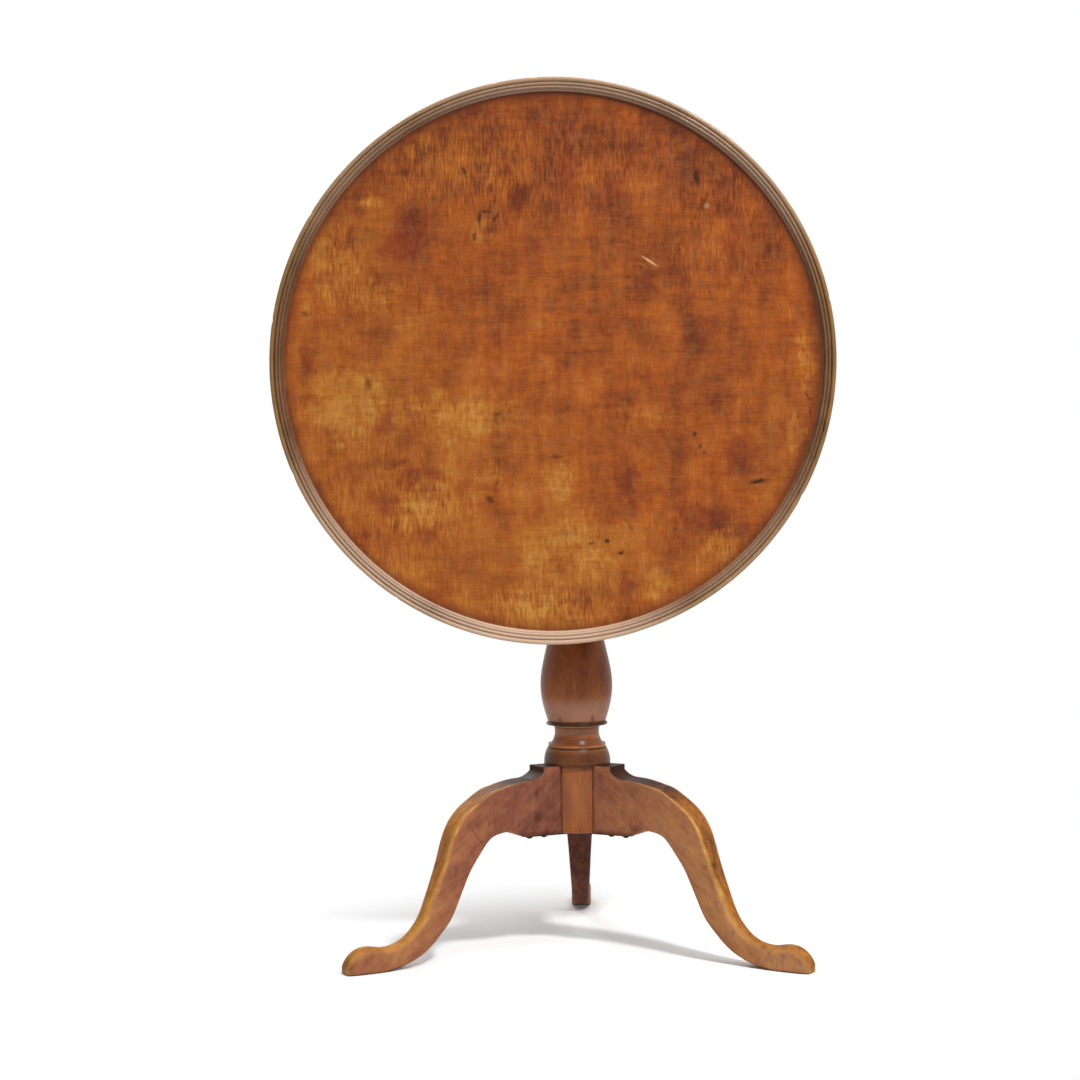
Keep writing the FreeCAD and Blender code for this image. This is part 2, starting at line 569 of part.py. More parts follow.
def column():
    """The turned column, from its foot to the end of its tenon, with flats and sockets for the legs."""
    z = LEG_TOP
    outline = Outline(0, LEG_BOTTOM)
    outline.line(BASE_RADIUS - BASE_EDGE_ROUND, LEG_BOTTOM)
    outline.arc(BASE_RADIUS, LEG_BOTTOM + BASE_EDGE_ROUND, BASE_EDGE_ROUND * QUARTER_SAG)
    outline.line(BASE_RADIUS, z)
    outline.line(BULB_RADIUS, z)
    z += BULB_HEIGHT
    outline.arc(BULB_TOP_RADIUS, z, BULB_SWELL)
    outline.line(BAND_RADIUS, z)
    z += BAND_HEIGHT
    outline.line(BAND_RADIUS, z)
    outline.line(HOLLOW_FOOT_RADIUS, z)
    z += HOLLOW_HEIGHT
    outline.arc(HOLLOW_EDGE_RADIUS, z, -HOLLOW_SAG)
    outline.line(COLLAR_RADIUS - COLLAR_NOSE, z)
    z += COLLAR_HEIGHT
    outline.arc(COLLAR_RADIUS - COLLAR_NOSE, z, COLLAR_NOSE)
    outline.line(VASE_FOOT_RADIUS, z)
    flare = VASE_FOOT_RADIUS + VASE_FOOT_FLARE * (VASE_RADIUS - VASE_FOOT_RADIUS)
    belly_z = z + VASE_RISE
    outline.curve(
        (flare, z + VASE_FOOT_PULL * VASE_RISE),
        (VASE_RADIUS, belly_z - VASE_BELLY_PULL * VASE_RISE),
        VASE_RADIUS,
        belly_z,
    )
    neck_z = BLOCK_BOTTOM_Z - NECK_DROP
    taper = neck_z - belly_z
    outline.curve(
        (VASE_RADIUS, belly_z + VASE_SHOULDER_PULL * taper),
        (NECK_RADIUS, neck_z - NECK_LOWER_PULL * taper),
        NECK_RADIUS,
        neck_z,
    )
    astragal_z = BLOCK_BOTTOM_Z - ASTRAGAL_DROP
    outline.curve(
        (NECK_RADIUS, neck_z + NECK_UPPER_PULL * (astragal_z - neck_z)),
        (NECK_RADIUS, neck_z + NECK_UPPER_PULL * (astragal_z - neck_z)),
        SHAFT_TOP_RADIUS,
        astragal_z,
    )
    astragal = ASTRAGAL_HEIGHT / 2
    outline.line(ASTRAGAL_RADIUS - astragal, astragal_z)
    outline.arc(ASTRAGAL_RADIUS - astragal, astragal_z + ASTRAGAL_HEIGHT, astragal)
    outline.line(CAP_NECK_RADIUS, astragal_z + ASTRAGAL_HEIGHT)
    outline.arc(CAP_EDGE_RADIUS, BLOCK_BOTTOM_Z - CAP_HEIGHT, -CAP_HOLLOW)
    outline.line(CAP_RADIUS, BLOCK_BOTTOM_Z - CAP_HEIGHT)
    outline.line(CAP_RADIUS, BLOCK_BOTTOM_Z)
    outline.line(TENON_DIAMETER / 2, BLOCK_BOTTOM_Z)
    outline.line(TENON_DIAMETER / 2, BLOCK_TOP_Z - TENON_SETBACK)
    outline.line(0, BLOCK_TOP_Z - TENON_SETBACK)
    half = LEG_THICKNESS / 2 + JOINT_CLEARANCE
    flat = box((FLAT_RADIUS, -half, LEG_BOTTOM - THROUGH), (2 * BASE_RADIUS, half, LEG_TOP))
    cuts = [wedge_blank(JOINT_CLEARANCE), nail(JOINT_CLEARANCE)]
    for angle in LEG_ANGLES.values():
        cuts.append(flat.rotated(ORIGIN, UP, angle))
        cuts.append(dovetail(JOINT_CLEARANCE).rotated(ORIGIN, UP, angle))
    return outline.turned().cut(cuts)


def leg_section_wire(outer, inner, width, outer_round, inner_round):
    """A rounded rectangle square to the leg's plane, between points on its outer and inner faces."""
    outward = outer - inner
    depth = outward.Length
    outward.normalize()
    most = ROUND_LIMIT * min(width, depth)
    corners = []
    for side, level, radius in (
        (1, depth, min(outer_round, most)),
        (1, 0, min(inner_round, most)),
        (-1, 0, min(inner_round, most)),
        (-1, depth, min(outer_round, most)),
    ):
        corner = inner + outward * level + Vector(0, side * width / 2, 0)
        to_middle = Vector(0, -side * radius, 0)
        to_level = outward * (radius if level == 0 else -radius)
        bend = corner + (to_middle + to_level) * QUARTER_SAG
        ends = [corner + to_middle, bend, corner + to_level]
        corners.append(ends if (level > 0) == (side > 0) else ends[::-1])
    edges = []
    for corner, following in zip(corners, corners[1:] + corners[:1]):
        edges.append(Part.Arc(*corner).toShape())
        edges.append(Part.LineSegment(corner[2], following[0]).toShape())
    return Part.Wire(edges)


def leg_blank():
    """A leg along +X: the sawn shoulder, and the curved limb lofted through its sections to the toe."""
    knee_x = LEG_FACE + KNEE_START
    step_x = LEG_FACE + SHOULDER_LENGTH
    step_z = LEG_TOP - STEP_DROP
    shoulder = Outline(LEG_FACE, LEG_BOTTOM)
    shoulder.line(LEG_FACE + BRACKET_LENGTH, LEG_BOTTOM)
    shoulder.arc(knee_x - CUSP_SETBACK, LEG_BOTTOM + CUSP_RISE, CUSP_ROUND)
    shoulder.line(knee_x, LEG_TOP - KNEE_START_DROP)
    shoulder.arc(step_x + STEP_COVE_RUN, step_z - STEP_COVE_DROP, KNEE_CROWN)
    shoulder.arc(step_x, step_z, -STEP_COVE_SAG)
    shoulder.line(step_x, LEG_TOP)
    shoulder.line(LEG_FACE, LEG_TOP)
    knee_top = Vector(knee_x, 0, LEG_TOP - KNEE_START_DROP)
    knee_cusp = Vector(knee_x - CUSP_SETBACK, 0, LEG_BOTTOM + CUSP_RISE)
    run = (LEG_REACH - knee_x) / PERCENT
    rise = knee_top.z / PERCENT
    breadth = LEG_THICKNESS / PERCENT
    wires = [leg_section_wire(knee_top, knee_cusp, LEG_THICKNESS, LEG_ARRIS, LEG_ARRIS)]
    for section in LIMB_SECTIONS:
        outer = Vector(knee_x + run * section.outer[0], 0, rise * section.outer[1])
        inner = Vector(knee_x + run * section.inner[0], 0, rise * section.inner[1])
        rounds = (breadth * section.outer_round, breadth * section.inner_round)
        wires.append(leg_section_wire(outer, inner, breadth * section.width, *rounds))
    limb = Part.makeLoft(wires, True, False)
    below = box((0, -LEG_THICKNESS, -LEG_TOP), (2 * LEG_REACH, LEG_THICKNESS, 0))
    return shoulder.sawn(LEG_THICKNESS).fuse([limb.cut(below), dovetail()])


def leg(angle):
    """One leg, nailed through the brace, turned to its place round the column."""
    holes = at_places(nail(JOINT_CLEARANCE), [(INNER_NAIL_RADIUS, 0, 0), (OUTER_NAIL_RADIUS, 0, 0)])
    return leg_blank().cut(holes).rotated(ORIGIN, UP, angle)


def nail(spare=0.0):
    """A forged nail driven up on the axis, with its domed head under the brace, or the hole for its shank."""
    head_z = LEG_BOTTOM - BRACE_THICKNESS
    shank = NAIL_SHANK_RADIUS + spare
    if spare:
        outline = Outline(0, head_z - THROUGH)
        outline.line(shank, head_z - THROUGH)
    else:
        outline = Outline(0, head_z - NAIL_HEAD_HEIGHT)
        outline.arc(NAIL_HEAD_RADIUS, head_z, NAIL_HEAD_SWELL)
        outline.line(shank, head_z)
    outline.line(shank, head_z + NAIL_LENGTH - NAIL_POINT_LENGTH)
    outline.line(0, head_z + NAIL_LENGTH + spare)
    return outline.turned()


def nail_places():
    """Where the nails stand: one in the hub, and two in each arm."""
    places = [(0, 0, 0)]
    for angle in LEG_ANGLES.values():
        for radius in (INNER_NAIL_RADIUS, OUTER_NAIL_RADIUS):
            places.append((radius * cos(radians(angle)), radius * sin(radians(angle)), 0))
    return places


def spider_brace():
    """The iron brace: a hub with a tapered, round-ended arm under each leg."""
    root = BRACE_ARM_ROOT_WIDTH / 2
    end = BRACE_ARM_END_WIDTH / 2
    outline = Outline(0, -root)
    outline.line(BRACE_REACH, -end)
    outline.arc(BRACE_REACH, end, end)
    outline.line(0, root)
    arm = outline.sawn(BRACE_THICKNESS)
    arm.rotate(ORIGIN, ACROSS, 90)
    arm.translate(Vector(0, 0, LEG_BOTTOM - BRACE_THICKNESS / 2))
    hub = Part.makeCylinder(BRACE_HUB_RADIUS, BRACE_THICKNESS, Vector(0, 0, LEG_BOTTOM - BRACE_THICKNESS))
    brace = hub.fuse([arm.rotated(ORIGIN, UP, angle) for angle in LEG_ANGLES.values()])
    return brace.cut(at_places(nail(JOINT_CLEARANCE), nail_places())).removeSplitter()


def strike_plate():
    """The brass plate let into the rear of the block, with the hole for the bolt."""
    return strike_blank().cut([bolt_hole()] + all_strike_screws(JOINT_CLEARANCE))


def latch_plate():
    """The brass plate that carries the latch, screwed under the top."""
    side = LATCH_PLATE_WIDTH / 2
    plate = box((-side, LATCH_FRONT_Y, PLATE_FACE_Z), (side, LATCH_REAR_Y, UNDERSIDE_Z))
    upright = [edge for edge in plate.Edges if abs(edge.tangentAt(edge.FirstParameter).z) > 0.99]
    plate = plate.makeFillet(LATCH_PLATE_ROUND, upright)
    return turned_up(plate.cut(all_latch_screws(JOINT_CLEARANCE)))


def latch_guides():
    """The two loops that the bolt slides through, standing on the plate."""
    side = BOLT_WIDTH / 2 + SLIDE_CLEARANCE
    loops = []
    for y in (FRONT_GUIDE_Y, REAR_GUIDE_Y):
        outer = box(
            (-side - GUIDE_WALL, y, BOLT_BOTTOM_Z - SLIDE_CLEARANCE - GUIDE_WALL),
            (side + GUIDE_WALL, y + GUIDE_LENGTH, PLATE_FACE_Z),
        )
        way = box(
            (-side, y - THROUGH, BOLT_BOTTOM_Z - SLIDE_CLEARANCE),
            (side, y + GUIDE_LENGTH + THROUGH, BOLT_TOP_Z + SLIDE_CLEARANCE),
        )
        loops.append(turned_up(outer.cut(way)))
    return Part.makeCompound(loops)


def latch_bolt():
    """The sliding bolt, bevelled so that lowering the top pushes it back past the strike."""
    outline = Outline(BOLT_NOSE_Y, BOLT_TOP_Z - BOLT_NOSE_DEPTH)
    outline.line(BOLT_NOSE_Y + BOLT_BEVEL_LENGTH, BOLT_BOTTOM_Z)
    outline.line(BOLT_TAIL_Y, BOLT_BOTTOM_Z)
    outline.line(BOLT_TAIL_Y, BOLT_TOP_Z)
    outline.line(BOLT_NOSE_Y, BOLT_TOP_Z)
    bolt = outline.sawn_across(BOLT_WIDTH)
    socket = Part.makeCylinder(
        KNOB_SPIGOT_RADIUS + JOINT_CLEARANCE,
        KNOB_SPIGOT_LENGTH + JOINT_CLEARANCE,
        Vector(0, KNOB_Y, BOLT_BOTTOM_Z),
    )
    return turned_up(bolt.cut(socket))


def latch_knob():
    """The turned knob under the bolt: a spigot, a stem and a domed head."""
    outline = Outline(0, -KNOB_STEM_LENGTH - KNOB_HEIGHT)
    outline.arc(KNOB_RADIUS, -KNOB_STEM_LENGTH - KNOB_EDGE_HEIGHT, KNOB_CROWN_SWELL)
    outline.arc(KNOB_STEM_RADIUS, -KNOB_STEM_LENGTH, KNOB_SHOULDER_SWELL)
    outline.line(KNOB_STEM_RADIUS, 0)
    outline.line(KNOB_SPIGOT_RADIUS, 0)
    outline.line(KNOB_SPIGOT_RADIUS, KNOB_SPIGOT_LENGTH)
    outline.line(0, KNOB_SPIGOT_LENGTH)
    return turned_up(outline.turned().translated(Vector(0, KNOB_Y, BOLT_BOTTOM_Z)))


def latch_spring():
    """The leaf spring behind the bolt: a strip bent along its line, screwed to the plate at its foot."""
    p = spring_line()
    path = Part.Wire(
        [
            Part.LineSegment(p["foot"], p["heel"]).toShape(),
            Part.Arc(p["heel"], p["heel_middle"], p["blade_start"]).toShape(),
            Part.LineSegment(p["blade_start"], p["blade_end"]).toShape(),
            Part.Arc(p["blade_end"], p["tip_middle"], p["tip"]).toShape(),
        ]
    )
    half = Vector(0, SPRING_WIDTH / 2, 0)
    thick = Vector(0, 0, SPRING_THICKNESS / 2)
    foot = p["foot"]
    corners = [foot - half - thick, foot + half - thick, foot + half + thick, foot - half + thick]
    strip = path.makePipeShell([Part.makePolygon(corners + corners[:1])], True, True)
    strip.rotate(ORIGIN, UP, 90)
    strip.rotate(ORIGIN, Vector(0, 1, 0), 180)
    strip.translate(Vector(0, 0, UNDERSIDE_Z))
    return turned_up(strip.cut(all_latch_screws(JOINT_CLEARANCE)))


def main():
    """Build every piece and write it to its own file."""
    pieces = {
        "tray_top": tray_top(),
        "left_batten": batten(-1),
        "right_batten": batten(1),
        "batten_screws": turned_up(Part.makeCompound(all_batten_screws())),
        "tilt_block": tilt_block(),
        "column": column(),
        "tenon_wedge": tenon_wedge(),
        "spider_brace": spider_brace(),
        "spider_nails": Part.makeCompound(at_places(nail(), nail_places())),
        "strike_plate": strike_plate(),
        "strike_screws": Part.makeCompound(all_strike_screws()),
        "latch_plate": latch_plate(),
        "latch_guides": latch_guides(),
        "latch_bolt": latch_bolt(),
        "latch_knob": latch_knob(),
        "latch_spring": latch_spring(),
        "latch_screws": turned_up(Part.makeCompound(all_latch_screws())),
    }
    for name, angle in LEG_ANGLES.items():
        pieces[name] = leg(angle)
    os.makedirs("parts", exist_ok=True)
    for name, shape in pieces.items():
        print(f"{name}: {len(shape.Solids)} solid, valid {shape.isValid()}, {shape.Volume / 1000:.2f} cm3")
        shape.exportStep(f"parts/{name}.step")


main()
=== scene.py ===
"""Looks of the tray top tea table: old figured maple under shellac, with iron and brass beneath the top.

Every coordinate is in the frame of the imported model: metres, +Z up, and the dished face of the tilted
top looks along -Y. Pieces are shaped and finished in millimetres, because mouldings, grain and wear are
that small.
"""
import json
import logging
import math
from dataclasses import dataclass
from enum import Enum
from typing import Any

import bpy
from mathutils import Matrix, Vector, noise


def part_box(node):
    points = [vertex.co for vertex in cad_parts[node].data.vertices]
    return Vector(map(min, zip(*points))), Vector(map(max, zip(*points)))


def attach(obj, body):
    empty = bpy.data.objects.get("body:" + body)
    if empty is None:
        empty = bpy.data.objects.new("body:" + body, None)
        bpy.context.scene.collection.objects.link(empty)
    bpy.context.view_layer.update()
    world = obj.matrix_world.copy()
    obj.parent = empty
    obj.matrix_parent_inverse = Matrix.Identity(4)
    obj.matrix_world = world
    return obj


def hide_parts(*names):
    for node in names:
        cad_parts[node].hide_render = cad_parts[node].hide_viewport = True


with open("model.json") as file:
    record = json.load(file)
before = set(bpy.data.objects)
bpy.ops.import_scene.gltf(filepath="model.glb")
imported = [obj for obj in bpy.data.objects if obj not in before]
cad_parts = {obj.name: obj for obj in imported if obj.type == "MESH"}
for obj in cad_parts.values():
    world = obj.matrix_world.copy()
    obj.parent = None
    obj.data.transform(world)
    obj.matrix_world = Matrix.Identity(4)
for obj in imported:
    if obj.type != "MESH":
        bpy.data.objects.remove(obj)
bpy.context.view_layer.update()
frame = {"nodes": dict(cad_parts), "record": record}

MM = 0.001
ALL_ROUND = 10000.0
SPOT_EDGE = 1.35
SPOT_CORE = 0.25
OCCLUSION_SAMPLES = 8
LOG = logging.getLogger("tea_table")

Tree = bpy.types.NodeTree
Socket = bpy.types.NodeSocket


class Body(Enum):
    """The bodies that move against each other."""

    STAND = "stand"
    TOP = "top"
    LATCH = "latch"


class Slot(Enum):
    """The record's material slots."""

    TOP_WOOD = "top_wood"
    STAND_WOOD = "stand_wood"
    UNDER_WOOD = "under_wood"
    IRON = "iron"
    BRASS = "brass"


class Grain(Enum):
    """The way a piece's grain runs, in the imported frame."""

    ACROSS = (1.0, 0.0, 0.0)
    UPRIGHT = (0.0, 0.0, 1.0)


def linear(colour: str) -> tuple[float, float, float, float]:
    """Turn an sRGB hex colour to linear light.

    Args:
        colour: The colour as "#rrggbb".

    Returns:
        Linear red, green, blue and an alpha of 1.
    """
    parts = [int(colour[i:i + 2], 16) / 255 for i in (1, 3, 5)]
    red, green, blue = [p / 12.92 if p <= 0.04045 else ((p + 0.055) / 1.055) ** 2.4 for p in parts]
    return red, green, blue, 1.0


def add(
    tree: Tree,
    kind: str,
    inputs: dict[int | str, Any] | None = None,
    out: int | str = 0,
    stops: tuple[tuple[float, str], ...] = (),
    **settings: Any,
) -> Socket:
    """Add one node with its settings and links.

    Args:
        tree: The tree that takes the node.
        kind: The node's type, without its ShaderNode prefix.
        inputs: A value, a hex colour or another node's output for each named or numbered input.
        out: The output to hand back.
        stops: A colour ramp's places and hex colours.
        settings: The node's own settings.

    Returns:
        The chosen output of the new node.
    """
    node = tree.nodes.new("ShaderNode" + kind)
    for name, value in settings.items():
        setattr(node, name, value)
    for key, value in (inputs or {}).items():
        if isinstance(value, Socket):
            tree.links.new(value, node.inputs[key])
        else:
            node.inputs[key].default_value = linear(value) if isinstance(value, str) else value
    if stops:
        ramp = node.color_ramp.elements
        ramp.remove(ramp[1])
        ramp[0].position, ramp[0].color = stops[0][0], linear(stops[0][1])
        for place, colour in stops[1:]:
            ramp.new(place).color = linear(colour)
    return node.outputs[out]


def new_material(name: str) -> tuple[bpy.types.Material, Tree]:
    """Start a material with an empty node tree.

    Args:
        name: What the material is.

    Returns:
        The material and its tree.
    """
    material = bpy.data.materials.new(name)
    material.use_nodes = True
    material.node_tree.nodes.clear()
    return material, material.node_tree


def add_output(tree: Tree, shader: Socket) -> None:
    """Link a shader to a new material output.

    Args:
        tree: The tree that takes the output.
        shader: What the surface shows.
    """
    tree.links.new(shader, tree.nodes.new("ShaderNodeOutputMaterial").inputs["Surface"])


def put_in_scene(name: str, data: bpy.types.ID) -> bpy.types.Object:
    """Put a mesh, a lamp or a camera in the scene.

    Args:
        name: What it is called.
        data: The mesh, lamp or camera.

    Returns:
        The new object.
    """
    thing = bpy.data.objects.new(name, data)
    bpy.context.scene.collection.objects.link(thing)
    return thing


def millimetres(
    tree: Tree,
    origin: tuple[float, float, float] = (0.0, 0.0, 0.0),
    turn: tuple[float, float, float] = (0.0, 0.0, 0.0),
) -> Socket:
    """Find the place on a piece, in millimetres and in the piece's own directions.

    Args:
        tree: The tree that takes the nodes.
        origin: Where the piece's own zero lies, in metres.
        turn: How the piece's own axes are turned, in degrees.

    Returns:
        The place.
    """
    return add(tree, "Mapping", {
        "Vector": add(tree, "TexCoord", out="Object"), "Location": origin,
        "Rotation": tuple(math.radians(angle) for angle in turn), "Scale": (MM, MM, MM),
    }, vector_type="TEXTURE")


def from_axis(tree: Tree, place: Socket) -> Socket:
    """Measure how far a place lies from the axis that the top was turned on.

    Args:
        tree: The tree that takes the nodes.
        place: The place on the top, in millimetres from its centre.

    Returns:
        The distance, in millimetres.
    """
    flat = add(tree, "VectorMath", {0: place, 1: (1, 0, 1)}, operation="MULTIPLY")
    return add(tree, "VectorMath", {0: flat}, 1, operation="LENGTH")


def streaks(
    tree: Tree,
    place: Socket,
    cell: tuple[float, float, float],
    seed: float,
    contrast: float = 1.0,
    detail: float = 3.0,
) -> Socket:
    """Draw uneven marks of a given size, from 0 to 1 about a mean of a half.

    Args:
        tree: The tree that takes the nodes.
        place: The place on the piece, in millimetres.
        cell: The length of a mark along each axis, in millimetres.
        seed: Sets one pattern apart from another.
        contrast: 1 leaves the noise as it is, and more spreads it towards 0 and 1.
        detail: How many finer layers ride on the first.

    Returns:
        The strength of the mark.
    """
    scaled = add(tree, "Mapping", {
        "Vector": place, "Location": (seed, seed * 1.7, -seed), "Scale": tuple(1 / c for c in cell),
    })
    pattern = add(tree, "TexNoise", {"Vector": scaled, "Scale": 1.0, "Detail": detail, "Roughness": 0.55})
    return add(tree, "MapRange", {
        "Value": pattern, "From Min": 0.5 - 0.5 / contrast, "From Max": 0.5 + 0.5 / contrast,
    })


def nudged(tree: Tree, place: Socket, cell: float, reach: float) -> Socket:
    """Push places about, so that the edges of what is drawn there turn ragged.

    Args:
        tree: The tree that takes the nodes.
        place: The place on the piece, in millimetres.
        cell: The size of a push, in millimetres.
        reach: How far the push goes, in millimetres.

    Returns:
        The pushed place.
    """
    push = add(tree, "TexNoise", {"Vector": place, "Scale": 1 / cell, "Detail": 3.0}, 1)
    push = add(tree, "VectorMath", {0: push, 1: (0.5, 0.5, 0.5)}, operation="SUBTRACT")
    return add(tree, "VectorMath", {0: push, 1: (reach, 0, reach), 2: place}, operation="MULTIPLY_ADD")


def weighed(tree: Tree, start: float, shares: tuple[tuple[Socket, float], ...]) -> Socket:
    """Add patterns together about a mean.

    Args:
        tree: The tree that takes the nodes.
        start: The mean of the sum.
        shares: Each pattern, about a half, and how far it moves the sum.

    Returns:
        The sum.
    """
    total: Any = start - sum(share for _, share in shares) / 2
    for pattern, share in shares:
        total = add(tree, "Math", {0: pattern, 1: share, 2: total}, operation="MULTIPLY_ADD")
    return total


@dataclass(frozen=True)
class Spot:
    """A soft-edged mark on an upright face, in millimetres across and up."""

    x: float
    z: float
    wide: float
    high: float
    strength: float
    turn: float = 0.0


def spread(tree: Tree, place: Socket, spots: tuple[Spot, ...]) -> Socket:
    """Lay a set of spots over each other.

    Args:
        tree: The tree that takes the nodes.
        place: The place on the face, in millimetres.
        spots: The marks to lay.

    Returns:
        The strength of the strongest mark at each place.
    """
    total: Any = 0.0
    for spot in spots:
        local = add(tree, "Mapping", {
            "Vector": place, "Location": (spot.x, 0, spot.z),
            "Rotation": (0, math.radians(spot.turn), 0), "Scale": (spot.wide, ALL_ROUND, spot.high),
        }, vector_type="TEXTURE")
        away = add(tree, "VectorMath", {0: local}, 1, operation="LENGTH")
        strength = add(tree, "MapRange", {
            "Value": away, "From Min": SPOT_EDGE, "From Max": SPOT_CORE, "To Max": spot.strength,
        }, interpolation_type="SMOOTHSTEP")
        total = add(tree, "Math", {0: total, 1: strength}, operation="MAXIMUM")
    return total


@dataclass(frozen=True)
class Wear:
    """Where use has rubbed a piece's edges, and where dirt and painted shade darken its corners.

    Each reach is in millimetres. Each openness is how much of the space about a place is free, where the
    wear sets in and where it is full.
    """

    rubbed: str
    dirt_and_shade: str
    edge_reach: float = 5.0
    corner_reach: float = 9.0
    rubbing: float = 0.9
    dirt_and_shade_strength: float = 0.85
    edge_openness: tuple[float, float] = (0.66, 0.3)
    corner_openness: tuple[float, float] = (0.75, 0.35)

    def over(self, tree: Tree, wood: Socket, patch: Socket) -> Socket:
        """Lay the wear, and the dirt and painted shade in the corners, over a colour.

        Args:
            tree: The tree that takes the nodes.
            wood: The colour beneath.
            patch: Where the rubbing takes hold, from 0 to 1.

        Returns:
            The worn colour.
        """
        edge = add(tree, "AmbientOcclusion", {"Distance": self.edge_reach * MM}, 1,
                   samples=OCCLUSION_SAMPLES, inside=True, only_local=True)
        edge = add(tree, "MapRange", {
            "Value": edge, "From Min": self.edge_openness[0], "From Max": self.edge_openness[1],
            "To Max": self.rubbing,
        })
        edge = add(tree, "Math", {0: edge, 1: patch}, operation="MULTIPLY")
        # Corners closed in from the ambient light are darkened here: dirt, and painted shade where that
        # light is cut off.
        corner = add(tree, "AmbientOcclusion", {"Distance": self.corner_reach * MM}, 1,
                     samples=OCCLUSION_SAMPLES)
        corner = add(tree, "MapRange", {
            "Value": corner, "From Min": self.corner_openness[0], "From Max": self.corner_openness[1],
            "To Max": self.dirt_and_shade_strength,
        })
        for share, colour in ((edge, self.rubbed), (corner, self.dirt_and_shade)):
            wood = add(tree, "Mix", {0: share, 6: wood, 7: colour}, 2, data_type="RGBA")
        return wood


@dataclass(frozen=True)
class Skin:
    """How a surface takes the light.

    The roughness runs from the glossiest places to the dullest. The relief is the depth of the finest marks
    in millimetres, and the strength is how much of it shows.
    """

    roughness: tuple[float, float]
    relief: float
    strength: float
    shine: float = 0.5
    ior: float = 1.5
    metallic: float = 0.0

    def lay(self, tree: Tree, colour: Socket, dull: Socket, height: Socket) -> None:
        """Give a material its surface.

        Args:
            tree: The tree that takes the nodes.
            colour: The colour that shows.
            dull: Where the surface is dull, from 0 to 1.
            height: The height of the finest marks, from 0 to 1.
        """
        glossiest, dullest = self.roughness
        add_output(tree, add(tree, "BsdfPrincipled", {
            "Base Color": colour,
            "Metallic": self.metallic,
            "Roughness": add(tree, "MapRange", {"Value": dull, "To Min": glossiest, "To Max": dullest}),
            "IOR": self.ior,
            "Specular IOR Level": self.shine,
            "Normal": add(tree, "Bump", {
                "Strength": self.strength, "Distance": self.relief * MM, "Height": height,
            }),
        }))


